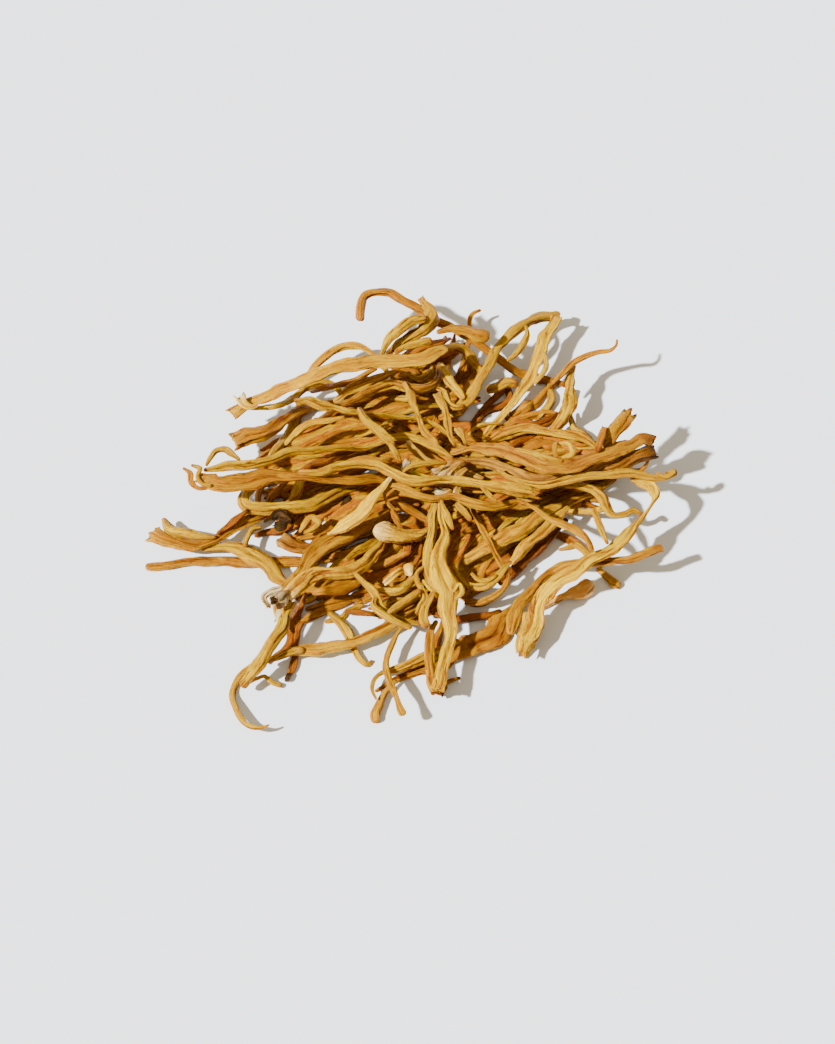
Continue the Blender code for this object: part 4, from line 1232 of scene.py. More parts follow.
def middle_twigs() -> TwigGroup:
    """The smaller stalks on and in the middle."""
    return TwigGroup("middle_twigs", [
        Twig("papery_stub", [(402, 449, 4), (404, 457, 7), (407, 466, 6)],
             Look(TAN, End.TORN, End.POINT, furrows=5, depth=0.35, knobs=0.2)),
        Twig("papery_flare", [(408, 462, 7), (404, 468, 8), (402, 475, 5)],
             replace(CRUMPLED, flesh=PAPERY), levels=(8.0, 8.0)),
        Twig("crumpled_base", [(444, 478, 9), (449, 472, 12), (456, 466, 10), (466, 462, 6)],
             Look(TAN, End.TORN, End.POINT, furrows=6, depth=0.42, knobs=0.3, folds=0.3),
             levels=(11.6, 11.2)),
        Twig("crumpled_side", [(453, 482, 6), (459, 475, 8), (468, 469, 5)], CRUMPLED, levels=(10.8, 10.6)),
        Twig("crumpled_low", [(436, 489, 6), (443, 493, 8), (450, 490, 6)],
             Look(PAPERY, End.TORN, End.TORN, furrows=5, depth=0.45, knobs=0.3), levels=(9.0, 9.4)),
        Twig("crumpled_low_2", [(455, 498, 6), (457, 491, 8), (460, 484, 6)], CRUMPLED, levels=(10.0, 10.2)),
        Twig("under_papery", [(390, 443, 9), (395, 452, 12), (400, 463, 9)], SLIM),
        Twig("grey_twig", [(408, 442, 5), (416, 453, 7), (427, 460, 7), (440, 462, 6)], SLIM_TAN),
        Twig("low_twig", [(403, 472, 4), (413, 466, 5), (428, 464, 5), (447, 463, 5)], SLIM),
        Twig("short_upright", [(441, 500, 5), (444, 510, 6), (449, 521, 6), (453, 530, 4)], SLIM),
        Twig("leaf", [(456, 503, 6), (463, 511, 9), (471, 521, 6)], BLADE),
        Twig("thin_link", [(481, 487, 4), (489, 495, 5), (497, 503, 4)], SLIM),
        Twig("greyish", [(392, 510, 5), (396, 520, 7), (402, 528, 4)], SLIM_ORANGE),
        Twig("brown_spread", [(360, 505, 8), (380, 498, 9), (402, 492, 9), (424, 497, 8)], SLIM_ORANGE, 0.85),
        Twig("brown_spread_2", [(400, 505, 8), (414, 512, 9), (428, 520, 8)], SLIM_ORANGE, 0.8),
        Twig("brown_spread_3", [(352, 530, 8), (372, 518, 9), (394, 510, 8), (412, 506, 7)], SLIM_ORANGE,
             0.85),
        Twig("brown_spread_4", [(404, 530, 9), (420, 534, 10), (432, 530, 8)], SLIM_ORANGE, 0.75),
        Twig("brown_spread_5", [(330, 546, 8), (352, 538, 9), (372, 530, 8), (390, 520, 7)], SLIM, 0.85),
        Twig("upper_knot", [(440, 470, 7), (452, 466, 8), (462, 471, 7), (476, 476, 6)], SLIM_TAN, 0.9),
        Twig("knot_bit", [(455, 487, 6), (460, 492, 9), (457, 499, 7)],
             replace(CRUMPLED, depth=0.35), 0.95),
        Twig("knot_bit_2", [(436, 486, 5), (444, 494, 8), (440, 502, 5)],
             Look(BROWN, End.TORN, End.TORN, furrows=5, depth=0.35, knobs=0.25), 0.95),
        Twig("middle_run", [(508, 449, 6), (520, 441, 7), (530, 437, 6)], SLIM_BROWN, 0.9),
        Twig("middle_run_2", [(520, 452, 8), (540, 445, 9), (555, 440, 8)], SLIM_ORANGE, 0.85),
        Twig("shade_run", [(492, 460, 7), (505, 455, 8), (522, 458, 8), (540, 462, 7)], SLIM_ORANGE, 0.85),
        Twig("shade_run_2", [(430, 488, 7), (450, 483, 8), (470, 490, 8), (492, 489, 7)], SLIM_ORANGE, 0.8),
        Twig("shade_run_3", [(470, 452, 7), (485, 448, 8), (505, 446, 8)], SLIM_BROWN, 0.8),
        Twig("torn_side", [(500, 487, 6), (515, 494, 7), (530, 497, 7), (538, 492, 5)], SLIM_TAN, 0.95),
    ])


def right_twigs() -> TwigGroup:
    """The smaller stalks at the right."""
    return TwigGroup("right_twigs", [
        Twig("tip_curl", [(656, 473, 5), (664, 477, 5), (671, 477, 4), (674, 472, 4), (669, 469, 4),
                          (665, 473, 3)], SLIM),
        Twig("ring", [(558, 444, 6), (566, 442, 7), (573, 449, 7), (570, 457, 7), (562, 458, 6)],
             SLIM_BRIGHT),
        Twig("ring_side", [(556, 442, 7), (554, 450, 8), (557, 458, 7)], SLIM),
        Twig("long_thin", [(515, 449, 5), (532, 453, 5), (548, 458, 5), (563, 461, 5)], SLIM),
        Twig("end_under", [(606, 464, 6), (596, 470, 6), (584, 475, 5)], SLIM_ORANGE, 0.9),
        Twig("end_under_2", [(625, 455, 8), (612, 462, 9), (598, 468, 8)], SLIM_ORANGE, 0.85),
        Twig("end_curl", [(647, 463, 3), (645, 468, 4), (637, 470, 3), (628, 469, 3), (616, 466, 4)],
             SLIM_ORANGE, 0.95),
        Twig("out_twig", [(602, 509, 7), (592, 512, 6), (580, 512, 5), (568, 511, 5), (556, 506, 5)],
             Look(GOLDEN, End.CUT, End.POINT, furrows=2, knobs=0.16), 0.9),
        Twig("short_base", [(604, 429, 7), (601, 440, 9), (597, 452, 8)],
             Look(ORANGE, End.TORN, End.POINT, furrows=4, depth=0.3)),
        Twig("hanging_twig", [(593, 508, 6), (597, 520, 6), (602, 532, 6), (608, 544, 5)], SLIM),
        Twig("deep_run", [(545, 498, 8), (562, 490, 9), (580, 484, 8), (600, 480, 7)], SLIM_ORANGE, 0.8),
        Twig("deep_run_2", [(540, 510, 7), (560, 502, 8), (580, 497, 8), (598, 500, 6)], SLIM_ORANGE, 0.75),
        Twig("deep_run_3", [(565, 508, 6), (578, 503, 7), (592, 506, 6)], SLIM_BROWN, 0.7),
        Twig("high_run", [(575, 462, 7), (590, 456, 8), (605, 450, 8), (620, 444, 6)], SLIM, 0.9),
        Twig("yellow_prong", [(552, 430, 8), (560, 420, 9), (566, 408, 9), (571, 396, 8)], SLIM, 0.85),
        Twig("dark_shelf", [(512, 420, 7), (522, 424, 8), (535, 426, 8), (546, 424, 6)], SLIM_BROWN, 0.7),
        Twig("fan_high", [(500, 530, 7), (520, 514, 8), (543, 499, 8), (565, 487, 8), (585, 478, 7)], SLIM,
             0.85),
        Twig("fan_shade", [(470, 530, 8), (490, 522, 9), (512, 515, 9), (530, 507, 8)], SLIM_ORANGE, 0.8),
        Twig("fan", [(467, 553, 8), (476, 542, 9), (487, 530, 8), (499, 518, 9), (509, 508, 8)],
             SLIM_BRIGHT, 0.88),
        Twig("fan_2", [(452, 556, 7), (460, 547, 8), (470, 536, 7)], SLIM, 0.9),
        Twig("fan_3", [(468, 568, 5), (482, 561, 6), (497, 553, 6), (512, 546, 6), (530, 537, 6)],
             SLIM_BRIGHT, 0.85),
        Twig("fan_4", [(498, 566, 7), (512, 556, 8), (528, 545, 8), (545, 532, 7)], SLIM_BROWN, 0.6),
        Twig("foot_twig", [(566, 548, 5), (577, 545, 7), (588, 556, 7), (596, 562, 6)], SLIM, 0.8),
        Twig("lobe_left", [(527, 612, 9), (524, 625, 10), (521, 640, 9), (520, 652, 7)],
             Look(BRIGHT, End.POINT, End.TORN, furrows=2, depth=0.16, folds=0.3), levels=(4.0, 1.2)),
        Twig("lobe_right", [(536, 612, 8), (535, 622, 9), (531, 640, 9), (523, 655, 7)],
             Look(BRIGHT, End.POINT, End.TORN, furrows=3, depth=0.2, folds=0.3), levels=(3.6, 1.1)),
    ])


def front_twigs() -> TwigGroup:
    """The smaller stalks at the front."""
    return TwigGroup("front_twigs", [
        Twig("dark_floor", [(430, 612, 6), (453, 619, 7), (470, 618, 7), (488, 615, 7), (502, 611, 6)],
             SLIM_BROWN, levels=(2.0, 1.1)),
        Twig("ribbon_middle", [(440, 684, 7), (438, 670, 8), (438, 655, 8), (438, 640, 8), (441, 627, 7)],
             SLIM_ORANGE, 0.55),
        Twig("ribbon_foot", [(438, 693, 14), (440, 686, 16), (442, 678, 12)],
             Look(SUBSTRATE, End.CUT, End.POINT, furrows=5, depth=0.3, knobs=0.1), levels=(2.6, 2.8)),
        Twig("horn", [(440, 685, 6), (447, 682, 6), (453, 680, 5)], SLIM_ORANGE, 0.8),
        Twig("brown_bend", [(303, 600, 6), (297, 615, 6), (291, 630, 6), (291, 642, 7), (283, 652, 6),
                            (272, 659, 5)], SLIM_BROWN, 0.9),
        Twig("twined", [(354, 573, 6), (364, 583, 7), (374, 593, 7), (379, 604, 6), (392, 614, 6),
                        (406, 621, 6), (421, 624, 6)], SLIM),
        Twig("twined_2", [(375, 597, 6), (373, 604, 6), (381, 613, 7), (396, 622, 7), (412, 628, 6)], SLIM),
        Twig("loop", [(464, 579, 5), (470, 586, 6), (482, 588, 7), (493, 582, 7), (502, 571, 6),
                      (511, 561, 5)], SLIM),
        Twig("loop_2", [(471, 573, 5), (478, 579, 5), (488, 581, 5), (497, 575, 5)], SLIM),
        Twig("loop_3", [(452, 563, 5), (456, 573, 6), (463, 580, 5), (470, 590, 5)], SLIM),
        Twig("lower_loop", [(462, 597, 6), (476, 603, 7), (490, 600, 7), (502, 590, 6)], SLIM_ORANGE, 0.9),
        Twig("ear_curl", [(453, 592, 4), (456, 586, 4), (461, 584, 4), (463, 590, 5), (459, 597, 4),
                          (455, 600, 3)], SLIM_BRIGHT),
        Twig("black_tip", [(290, 673, 5), (288, 677, 6), (286, 681, 5)],
             Look(BLACKENED, End.POINT, End.CLUB, furrows=2, knobs=0.1)),
        Twig("tail_twig", [(247, 684, 4), (254, 680, 4), (262, 675, 4), (268, 679, 4), (275, 684, 5),
                           (282, 686, 5)], CLUBBED, levels=(3.2, 0.9)),
        Twig("small_bow", [(332, 620, 5), (342, 617, 5), (349, 609, 5), (357, 607, 5)], SLIM, 0.85),
        Twig("winding", [(424, 567, 5), (418, 571, 5), (417, 580, 5), (422, 590, 5), (424, 598, 6),
                         (419, 608, 6), (417, 615, 6)], CLUBBED),
        Twig("branchlet", [(423, 580, 6), (429, 587, 6), (436, 593, 5)], SLIM_BRIGHT),
        Twig("blunt_branch", [(434, 592, 7), (429, 602, 7), (423, 611, 8), (423, 620, 8), (427, 628, 8)],
             CLUBBED),
        Twig("pod", [(383, 591, 6), (393, 592, 9), (404, 588, 10), (412, 580, 8)], BLUNT, 0.8),
        Twig("pale_round_tip", [(411, 576, 3), (410, 572, 8), (409, 568, 11), (408, 564, 8)], BLUNT_PALE),
        Twig("whitish_bit", [(391, 578, 6), (395, 575, 7)],
             Look(PALE, End.CUT, End.CUT, furrows=3, depth=0.3, knobs=0.2), 0.85),
        Twig("gold_run", [(388, 613, 7), (400, 605, 9), (412, 597, 9), (421, 590, 7)], SLIM),
        Twig("gold_run_2", [(386, 606, 7), (400, 598, 8), (414, 590, 7)], SLIM, 0.85),
        Twig("brown_broad", [(320, 592, 8), (333, 591, 12), (348, 585, 12), (362, 577, 9)], SLIM_ORANGE, 0.9),
        Twig("brown_run", [(313, 607, 7), (328, 602, 8), (342, 599, 8), (355, 600, 6)], SLIM_ORANGE, 0.85),
        Twig("brown_run_2", [(300, 622, 7), (312, 617, 8), (325, 611, 8), (345, 604, 7)], SLIM_ORANGE, 0.85),
        Twig("under_run", [(345, 612, 7), (362, 612, 8), (378, 616, 7)], SLIM_BROWN, levels=(2.0, 1.6)),
        Twig("upper_bit", [(308, 600, 6), (314, 598, 8), (318, 592, 6)], SLIM_TAN, 0.9),
        Twig("bent_gold", [(352, 556, 8), (366, 546, 10), (380, 538, 9)], SLIM, 0.85),
        Twig("gold_strip", [(318, 580, 7), (336, 566, 8), (354, 556, 8), (372, 548, 7)], SLIM, 0.85),
        Twig("gold_strip_2", [(372, 566, 6), (390, 562, 7), (404, 555, 6)], SLIM_ORANGE, 0.85),
        Twig("dark_strands", [(398, 570, 4), (406, 556, 5), (410, 544, 4)], SLIM_BROWN, 0.9),
        Twig("dark_strands_2", [(410, 572, 4), (418, 558, 5), (421, 546, 4)], SLIM_BROWN, 0.9),
        Twig("dark_strands_3", [(390, 572, 4), (398, 560, 5), (402, 548, 4)], SLIM_ORANGE, 0.88),
        Twig("papery_base", [(277, 603, 17), (280, 600, 17), (284, 597, 14), (291, 592, 11)],
             Look(PAPERY, End.CUT, End.POINT, furrows=6, depth=0.25, knobs=0.15), levels=(13.6, 9.8)),
        Twig("papery_base_low", [(277, 621, 6), (279, 614, 10), (284, 606, 11), (291, 600, 9)],
             Look(PAPERY, End.TORN, End.POINT, furrows=6, depth=0.3, knobs=0.2), levels=(6.0, 8.5)),
        Twig("base_split", [(283, 588, 6), (276, 592, 7), (266, 592, 7), (264, 600, 5), (269, 607, 4)],
             Look(PAPERY, End.POINT, End.TORN, furrows=3, depth=0.2), levels=(11.0, 8.0)),
        Twig("base_rim", [(276, 610, 5), (278, 616, 6), (281, 624, 5)],
             Look(TAN, End.TORN, End.POINT, furrows=4, depth=0.3), 0.8),
        Twig("pale_left_run", [(304, 650, 12), (290, 652, 10), (276, 657, 8), (264, 663, 6)], BLADE,
             levels=(4.4, 4.0)),
    ])


@dataclass(frozen=True)
class Flow:
    """The way that stalks run near a pixel: the angle in degrees, clockwise in the picture."""

    x: float
    y: float
    angle: float
    spread: float
    softness: float = 200.0

    def apart(self, place: np.ndarray) -> float:
        """The square of the distance from a pixel, with what keeps it off zero."""
        return (self.x - place[0]) ** 2 + (self.y - place[1]) ** 2 + self.softness


FLOWS = (
    Flow(300, 440, -24.0, 7.0), Flow(360, 400, -20.0, 8.0), Flow(410, 350, -22.0, 12.0),
    Flow(450, 370, -50.0, 22.0), Flow(455, 410, -35.0, 25.0), Flow(330, 460, -10.0, 8.0),
    Flow(400, 450, -2.0, 16.0), Flow(500, 450, 4.0, 9.0), Flow(560, 440, 2.0, 14.0),
    Flow(600, 460, -12.0, 9.0), Flow(560, 490, -24.0, 8.0), Flow(500, 530, -36.0, 7.0),
    Flow(450, 570, -38.0, 10.0), Flow(400, 500, -16.0, 16.0), Flow(350, 540, -36.0, 9.0),
    Flow(400, 560, -46.0, 16.0), Flow(330, 590, -28.0, 9.0), Flow(400, 610, -34.0, 10.0),
    Flow(290, 500, -14.0, 14.0),
)


@dataclass
class Undergrowth:
    """Stalks at random inside the dense part of the heap, which run as those near them in the picture do.

    shares are of the heap's height, lengths and widths in mm, and step and outline in pixels.
    """

    ACROSS = (250, 640)
    DOWN = (325, 628)
    LEAST_POINTS = 4
    SKIN_STEP = 0.9
    SKIN_AROUND = 14
    TIP_LOSS = 0.35
    TILT = 0.10

    name: str
    count: int
    seed: int
    shares: tuple[float, float]
    looks: tuple[Look, ...]
    lengths: tuple[float, float] = (20.0, 46.0)
    widths: tuple[float, float] = (1.5, 2.8)
    step: float = 12.0
    outline: tuple[tuple[float, float], ...] = (
        (262, 478), (252, 462), (272, 442), (300, 426), (340, 404), (372, 386), (395, 356), (425, 330),
        (458, 338), (478, 362), (474, 400), (468, 425), (520, 432), (568, 430), (600, 446), (634, 452),
        (624, 468), (600, 486), (590, 500), (560, 512), (550, 528), (518, 554), (498, 578), (468, 598),
        (440, 606), (425, 622), (395, 624), (370, 604), (340, 598), (302, 598), (294, 592), (308, 570),
        (318, 550), (290, 540), (272, 520), (260, 500),
    )

    def inside(self, place: np.ndarray) -> bool:
        """Whether a pixel lies in the dense part's outline."""
        corners = np.array(self.outline, dtype=float)
        after = np.roll(corners, -1, axis=0)
        crosses = (corners[:, 1] > place[1]) != (after[:, 1] > place[1])
        rise = np.where(crosses, after[:, 1] - corners[:, 1], 1.0)
        edge = corners[:, 0] + (place[1] - corners[:, 1]) / rise * (after[:, 0] - corners[:, 0])
        return bool(np.sum(crosses & (place[0] < edge)) % 2)

    def heading(self, place: np.ndarray, turned: float) -> float:
        """The way that stalks run near a pixel, in radians on the picture, off by this many spreads."""
        nearness = [1.0 / flow.apart(place) ** 1.5 for flow in FLOWS]
        angle = sum(near * (flow.angle + turned * flow.spread) for near, flow in zip(nearness, FLOWS))
        return math.radians(angle / sum(nearness))

    def route(self, rng: np.random.Generator) -> np.ndarray:
        """A random route of pixels that stays in the outline."""
        while True:
            start = np.array([rng.uniform(*self.ACROSS), rng.uniform(*self.DOWN)])
            if self.inside(start):
                break
        turned = rng.normal(0.0, 1.0)
        steps = int(rng.uniform(*self.lengths) / PICTURE.mm_per_pixel / self.step / 2.0) + 1
        halves = []
        for side in (-1.0, 1.0):
            place, half = start, []
            bend = rng.normal(0.0, 0.35)
            for _ in range(steps):
                heading = self.heading(place, turned + bend)
                place = place + side * self.step * np.array([math.cos(heading), math.sin(heading)])
                if not self.inside(place):
                    break
                turned += rng.normal(0.0, 0.25)
                half.append(place)
            halves.append(half)
        return np.array(halves[0][::-1] + [start] + halves[1])

    def build(self, layer: TwigLayer, pieces: PieceMaker) -> None:
        """Fill the heap."""
        rng = np.random.default_rng(self.seed)
        skins: list[Skin] = []
        while len(skins) < self.count:
            route = self.route(rng)
            if len(route) < self.LEAST_POINTS:
                continue
            width = rng.uniform(*self.widths) / PICTURE.mm_per_pixel
            along = np.linspace(-1.0, 1.0, len(route))
            sizes = width * (1.0 - self.TIP_LOSS * np.abs(along) ** 3)
            share = rng.uniform(*self.shares)
            tilt = rng.normal(0.0, self.TILT, 2)
            look = self.looks[int(rng.integers(len(self.looks)))]
            spots = [(*spot, size) for spot, size in zip(route.tolist(), sizes)]
            twig = Twig(f"{self.name}_{len(skins)}", spots, look, share, seen=False)
            line = layer.line(twig)
            line.places[:, 2] *= 1.0 - np.linspace(*np.abs(tilt), len(line.places))
            skins.append(StalkMaker(line, look, twig.name, self.SKIN_STEP, self.SKIN_AROUND).make())
        pieces.make_by_flesh(self.name, skins)


HIDDEN = Look(DEEP_SHADE, End.POINT, End.POINT, furrows=2)
# Painted shade: the hidden stalks inside the heap take deep shade and deep orange flesh, and the strands
# mostly amber and orange.
UNDERGROWTHS = (
    Undergrowth("undergrowth", 130, 31, (0.08, 0.60), (HIDDEN, SLIM_ORANGE, HIDDEN, SLIM_ORANGE)),
    Undergrowth("strands", 60, 7, (0.50, 0.82), (SLIM_AMBER, SLIM_ORANGE, SLIM_ORANGE, SLIM), (26.0, 60.0),
                (1.6, 2.8)),
)


def stalk_looks() -> dict[str, Look]:
    """How each main stalk has dried, where it differs from a plain golden one."""
    cut, club, point, torn = End.CUT, End.CLUB, End.POINT, End.TORN
    ribbon = Look(BRIGHT, cut, point, furrows=2, depth=0.16, hollow=0.4, folds=0.4, fullness=1.3)
    # Which flesh a stalk gets also paints light and shade: brighter flesh where the light falls on the heap,
    # darker and redder flesh (golden, amber, orange, brown) where it lies in shade, besides the stalks' own
    # tones.
    return {
        "front_floor_bundle": Look(AMBER, point, point, furrows=9, depth=0.55, folds=0.35),
        "forked_tip": Look(AMBER, point, club, furrows=2),
        "front_floor_stalk": Look(AMBER, point, point),
        "far_left_stalk": Look(AMBER, club, point, furrows=3, depth=0.3),
        "left_leaf_stalk": Look(GOLDEN, point, point, furrows=2, depth=0.15, folds=0.35),
        "left_base_stalk": Look(GOLDEN, cut, point, furrows=3, folds=0.25),
        "tail_hook_stalk": Look(AMBER, point, point, furrows=2, knobs=0.04),
        "low_right_club": Look(ROSY, club, point, furrows=3, depth=0.24, knobs=0.16, fullness=1.3),
        "small_right_club": Look(AMBER, point, club, furrows=2, fullness=1.3),
        "shaded_right_stalk": Look(BROWN), "back_shaded_stalk": Look(BROWN),
        "back_dark_stalk": Look(BROWN), "brown_edge_stalk": Look(BROWN),
        "cross_stalk": Look(GOLDEN, point, point, knobs=0.1),
        "dark_tip_stalk": Look(BROWN, point, point, furrows=2),
        "pale_long_stalk": Look(BRIGHT, point, point, furrows=3, depth=0.3),
        "forked_twig": Look(AMBER, point, club, knobs=0.12),
        "front_left_stalk": Look(AMBER, cut, point, fullness=1.3),
        "left_ring_stalk": Look(UMBER, cut, point, furrows=4, fullness=1.25),
        "back_hook_stalk": Look(ORANGE, club, point, furrows=2, depth=0.26, knobs=0.06, fullness=1.05),
        "back_arch_stalk": Look(GOLDEN, cut, point, furrows=2, depth=0.2),
        "back_ribbon": Look(BRIGHT, cut, point, furrows=4, depth=0.3, folds=0.35, knobs=0.1, fullness=1.0),
        "left_arch": Look(BRIGHT, point, point, furrows=2, knobs=0.04, fullness=1.35),
        "left_hollow_base": Look(AMBER, cut, point, folds=0.2, fullness=1.25), "left_mid_ribbon": ribbon,
        "back_left_broad": Look(BRIGHT, point, point, hollow=0.3, fullness=1.25),
        "back_mid_stalk": Look(GOLDEN, point, point),
        "back_pale_base": Look(OLIVE, cut, point, furrows=3, depth=0.3, knobs=0.12),
        "back_club_stalk": Look(AMBER, point, club, furrows=2, knobs=0.1),
        "top_left_ribbon": Look(BRIGHT, cut, club, furrows=2, depth=0.16, folds=0.3, hollow=0.3,
                                fullness=1.35),
        "right_vertical_stalk": Look(GOLDEN, point, point, knobs=0.18, fullness=1.4),
        "right_whip_stalk": Look(ORANGE, point, point, furrows=2, knobs=0.03),
        "right_yellow_stalk": Look(BRIGHT, point, point),
        "right_short_base": Look(AMBER, torn, point, furrows=5, depth=0.34, fullness=1.6),
        "right_dark_base": Look(SUBSTRATE, cut, point, furrows=4, depth=0.3, knobs=0.1),
        "fan_stalk_blunt": Look(BRIGHT, fullness=1.25), "fan_stalk_bright": Look(BRIGHT, fullness=1.2),
        "right_fan_stalk": Look(GOLDEN, fullness=1.2), "side_ribbon": Look(GOLDEN, club, cut, depth=0.34),
        "thick_pale_stalk": Look(HEADED, cut, point, furrows=5, depth=0.34, rings=0.008, fullness=1.2),
        "pale_club_base": Look(HEADED, club, point, furrows=2, depth=0.14, rings=0.034, hollow=0.0,
                               fullness=1.1),
        "lower_left_stalk": Look(GOLDEN, cut, club, furrows=3, depth=0.3, knobs=0.1),
        "front_ribbon": Look(BRIGHT, point, cut, furrows=3, depth=0.2, folds=0.55, hollow=0.4, fullness=1.25),
        "twisted_right_ribbon": Look(BRIGHT, point, torn, furrows=4, depth=0.30, folds=0.5, hollow=0.3,
                                     fullness=1.4),
        "knobbly_long_stalk": Look(GOLDEN, cut, point, furrows=3, depth=0.3, knobs=0.22, slimming=0.45),
        "long_top_stalk": Look(GOLDEN, point, point, furrows=3, fullness=0.88),
        "broad_left_ribbon": Look(AMBER, cut, point, furrows=3, depth=0.25, folds=0.45, hollow=0.4,
                                  fullness=1.35),
        "grey_base_stalk": Look(TAN, cut, point, furrows=4, depth=0.3),
        "big_right_stalk": Look(OLIVE, point, cut, furrows=4, depth=0.36, hollow=0.25),
        "long_right_stalk": Look(GOLDEN, point, club, furrows=2, depth=0.24, fullness=0.95),
        "long_loop_stalk": Look(GOLDEN, fullness=0.95), "thin_diagonal_stalk": Look(GOLDEN, fullness=0.92),
        "pale_leaf": Look(PALE, point, point, furrows=1, depth=0.1, folds=0.2, hollow=0.6),
        "long_middle_stalk": Look(GOLDEN, point, torn, furrows=3, depth=0.3, fullness=0.96),
    }


# Where each stalk's route starts in the picture, in px
FIRST_ENDS = {
    "front_floor_bundle": (376, 691), "forked_tip": (396, 681), "front_floor_stalk": (458, 641),
    "far_left_stalk": (147, 567), "left_leaf_stalk": (203, 549), "left_base_stalk": (156, 535),
    "tail_hook_stalk": (285, 617), "low_right_club": (591, 585), "small_right_club": (598, 569),
    "shaded_right_stalk": (530, 522), "back_shaded_stalk": (508, 388), "back_dark_stalk": (505, 432),
    "brown_edge_stalk": (500, 583), "right_fan_stalk": (520, 535), "cross_stalk": (322, 608),
    "dark_tip_stalk": (312, 614), "pale_long_stalk": (288, 653), "forked_twig": (403, 626),
    "front_left_stalk": (436, 690), "left_ring_stalk": (283, 541), "back_hook_stalk": (360, 319),
    "back_arch_stalk": (556, 316), "back_ribbon": (556, 320), "left_arch": (308, 374),
    "left_hollow_base": (237, 441), "left_mid_ribbon": (278, 470), "back_left_broad": (335, 401),
    "back_mid_stalk": (335, 405), "back_pale_base": (422, 300), "back_inner_stalk": (424, 318),
    "back_club_stalk": (438, 332), "top_left_ribbon": (234, 413), "right_vertical_stalk": (574, 366),
    "right_whip_stalk": (617, 340), "right_yellow_stalk": (484, 445), "right_short_base": (627, 416),
    "right_dark_base": (651, 452), "inner_right_curl": (565, 485), "u_bend_stalk": (253, 489),
    "fan_stalk_blunt": (464, 562), "fan_stalk_bright": (512, 563), "side_ribbon": (511, 633),
    "diagonal_stalk_left": (282, 590), "diagonal_stalk_right": (298, 582), "thick_pale_stalk": (287, 597),
    "pale_club_base": (377, 530), "lower_left_stalk": (290, 606), "beside_front_ribbon": (436, 500),
    "front_ribbon": (440, 503), "twisted_right_ribbon": (632, 478), "thin_diagonal_stalk": (470, 504),
    "knobbly_long_stalk": (297, 402), "long_top_stalk": (205, 470), "broad_left_ribbon": (200, 478),
    "grey_base_stalk": (447, 474), "long_right_stalk": (498, 470), "big_right_stalk": (452, 453),
    "long_loop_stalk": (396, 512), "pale_leaf": (390, 478), "long_middle_stalk": (300, 472),
}


@dataclass
class Tangle:
    """The sixty main stalks: each solid's skin."""

    pieces: PieceMaker
    heap: SightMap
    looks: dict[str, Look] = field(default_factory=stalk_looks)

    def build(self) -> None:
        """Dress each solid in its own skin and keep what the picture sees of it."""
        for name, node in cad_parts.items():
            line = self.oriented(name, SolidReader(node).line())
            self.heap.paint(line)
            skin = StalkMaker(line, self.looks.get(name, Look()), name).make()
            piece = self.pieces.make(f"{name}_flesh", [skin])
            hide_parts(name)

    def oriented(self, name: str, line: StalkLine) -> StalkLine:
        """Turn a line that was read from its last end, by where its first end lies."""
        start = FIRST_ENDS[name]
        along = PICTURE.places(np.array([start], dtype=float), line.places[[0, -1]].mean(axis=0)[2:3])[0]
        near_first = np.linalg.norm(line.places[0, :2] - along[:2])
        near_last = np.linalg.norm(line.places[-1, :2] - along[:2])
        if near_first <= near_last:
            return line
        return line.turned_round()


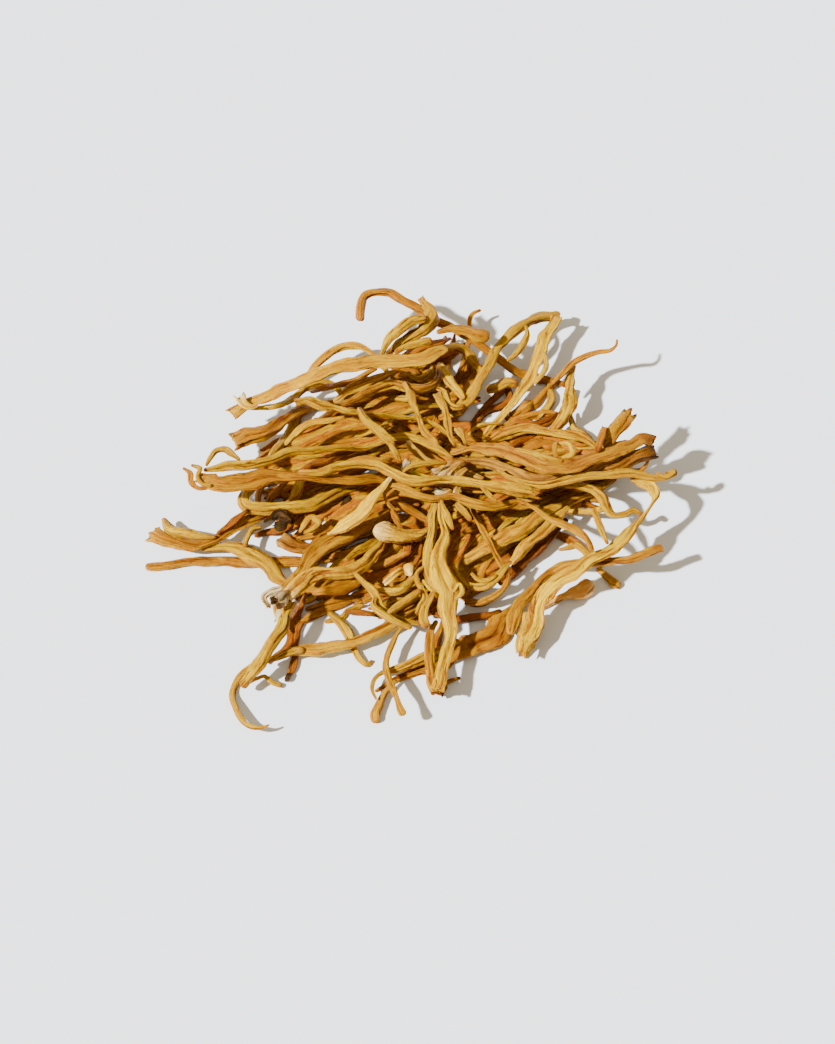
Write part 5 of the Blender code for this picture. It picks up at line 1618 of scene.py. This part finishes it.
@dataclass
class Studio:
    """A pale plain floor, soft light from the left, and the camera at the picture's angle."""

    floor_colour: Colour = (0.69, 0.75, 0.86)
    floor_roughness: float = 0.75
    floor_size: float = 3.0
    sun_colour: Colour = (1.0, 0.975, 0.94)
    sun_strength: float = 14.4
    sun_angle: float = math.radians(2.5)
    sun_elevation: float = math.radians(45.0)
    shadow_turn: float = math.radians(26.0)
    sky_colour: Colour = (1.0, 0.81, 0.55)
    sky_strength: float = 0.8

    def build(self) -> None:
        """Set up the floor, the light and the camera."""
        self.floor()
        self.light()
        self.camera()

    def floor(self) -> None:
        """Lay the floor."""
        bpy.ops.mesh.primitive_plane_add(size=self.floor_size)
        floor = bpy.context.object
        floor.name = "table_top"
        material = bpy.data.materials.new("table_top")
        material.use_nodes = True
        surface = material.node_tree.nodes["Principled BSDF"]
        surface.inputs["Base Color"].default_value = (*self.floor_colour, 1.0)
        surface.inputs["Roughness"].default_value = self.floor_roughness
        floor.data.materials.append(material)

    def light(self) -> None:
        """Hang the main light at the left and fill with a pale sky."""
        lamp = bpy.data.lights.new("main_light", "SUN")
        lamp.energy = self.sun_strength
        lamp.angle = self.sun_angle
        lamp.color = self.sun_colour
        light = bpy.data.objects.new("main_light", lamp)
        bpy.context.scene.collection.objects.link(light)
        level = math.cos(self.sun_elevation)
        ray = Vector((math.cos(self.shadow_turn) * level, math.sin(self.shadow_turn) * level,
                      -math.sin(self.sun_elevation)))
        light.rotation_euler = ray.to_track_quat("-Z", "Y").to_euler()
        world = bpy.data.worlds.new("pale_sky")
        world.use_nodes = True
        sky = world.node_tree.nodes["Background"]
        sky.inputs["Color"].default_value = (*self.sky_colour, 1.0)
        sky.inputs["Strength"].default_value = self.sky_strength
        bpy.context.scene.world = world

    def camera(self) -> None:
        """Set the camera where the picture was taken from."""
        lens = bpy.data.cameras.new("camera")
        lens.sensor_width = PICTURE.sensor
        lens.lens = PICTURE.lens
        camera = bpy.data.objects.new("camera", lens)
        camera.location = Vector(PICTURE.eye - np.array([*PICTURE.heap_centre, 0.0])) * METRES_PER_MM
        camera.rotation_euler = (math.pi / 2.0 - PICTURE.elevation, 0.0, 0.0)
        bpy.context.scene.collection.objects.link(camera)
        bpy.context.scene.camera = camera


def main() -> None:
    """Build the heap from its main stalks to the smallest, then the studio."""
    logging.basicConfig(level=logging.INFO)
    pieces = PieceMaker(FleshMaterials())
    heap = SightMap()
    Tangle(pieces, heap).build()
    layer = TwigLayer(heap)
    for group in (right_twigs(), back_twigs(), left_twigs(), front_twigs(), middle_twigs()):
        group.build(layer, pieces)
    for undergrowth in UNDERGROWTHS:
        undergrowth.build(layer, pieces)
    Studio().build()


if __name__ == "__main__":
    main()
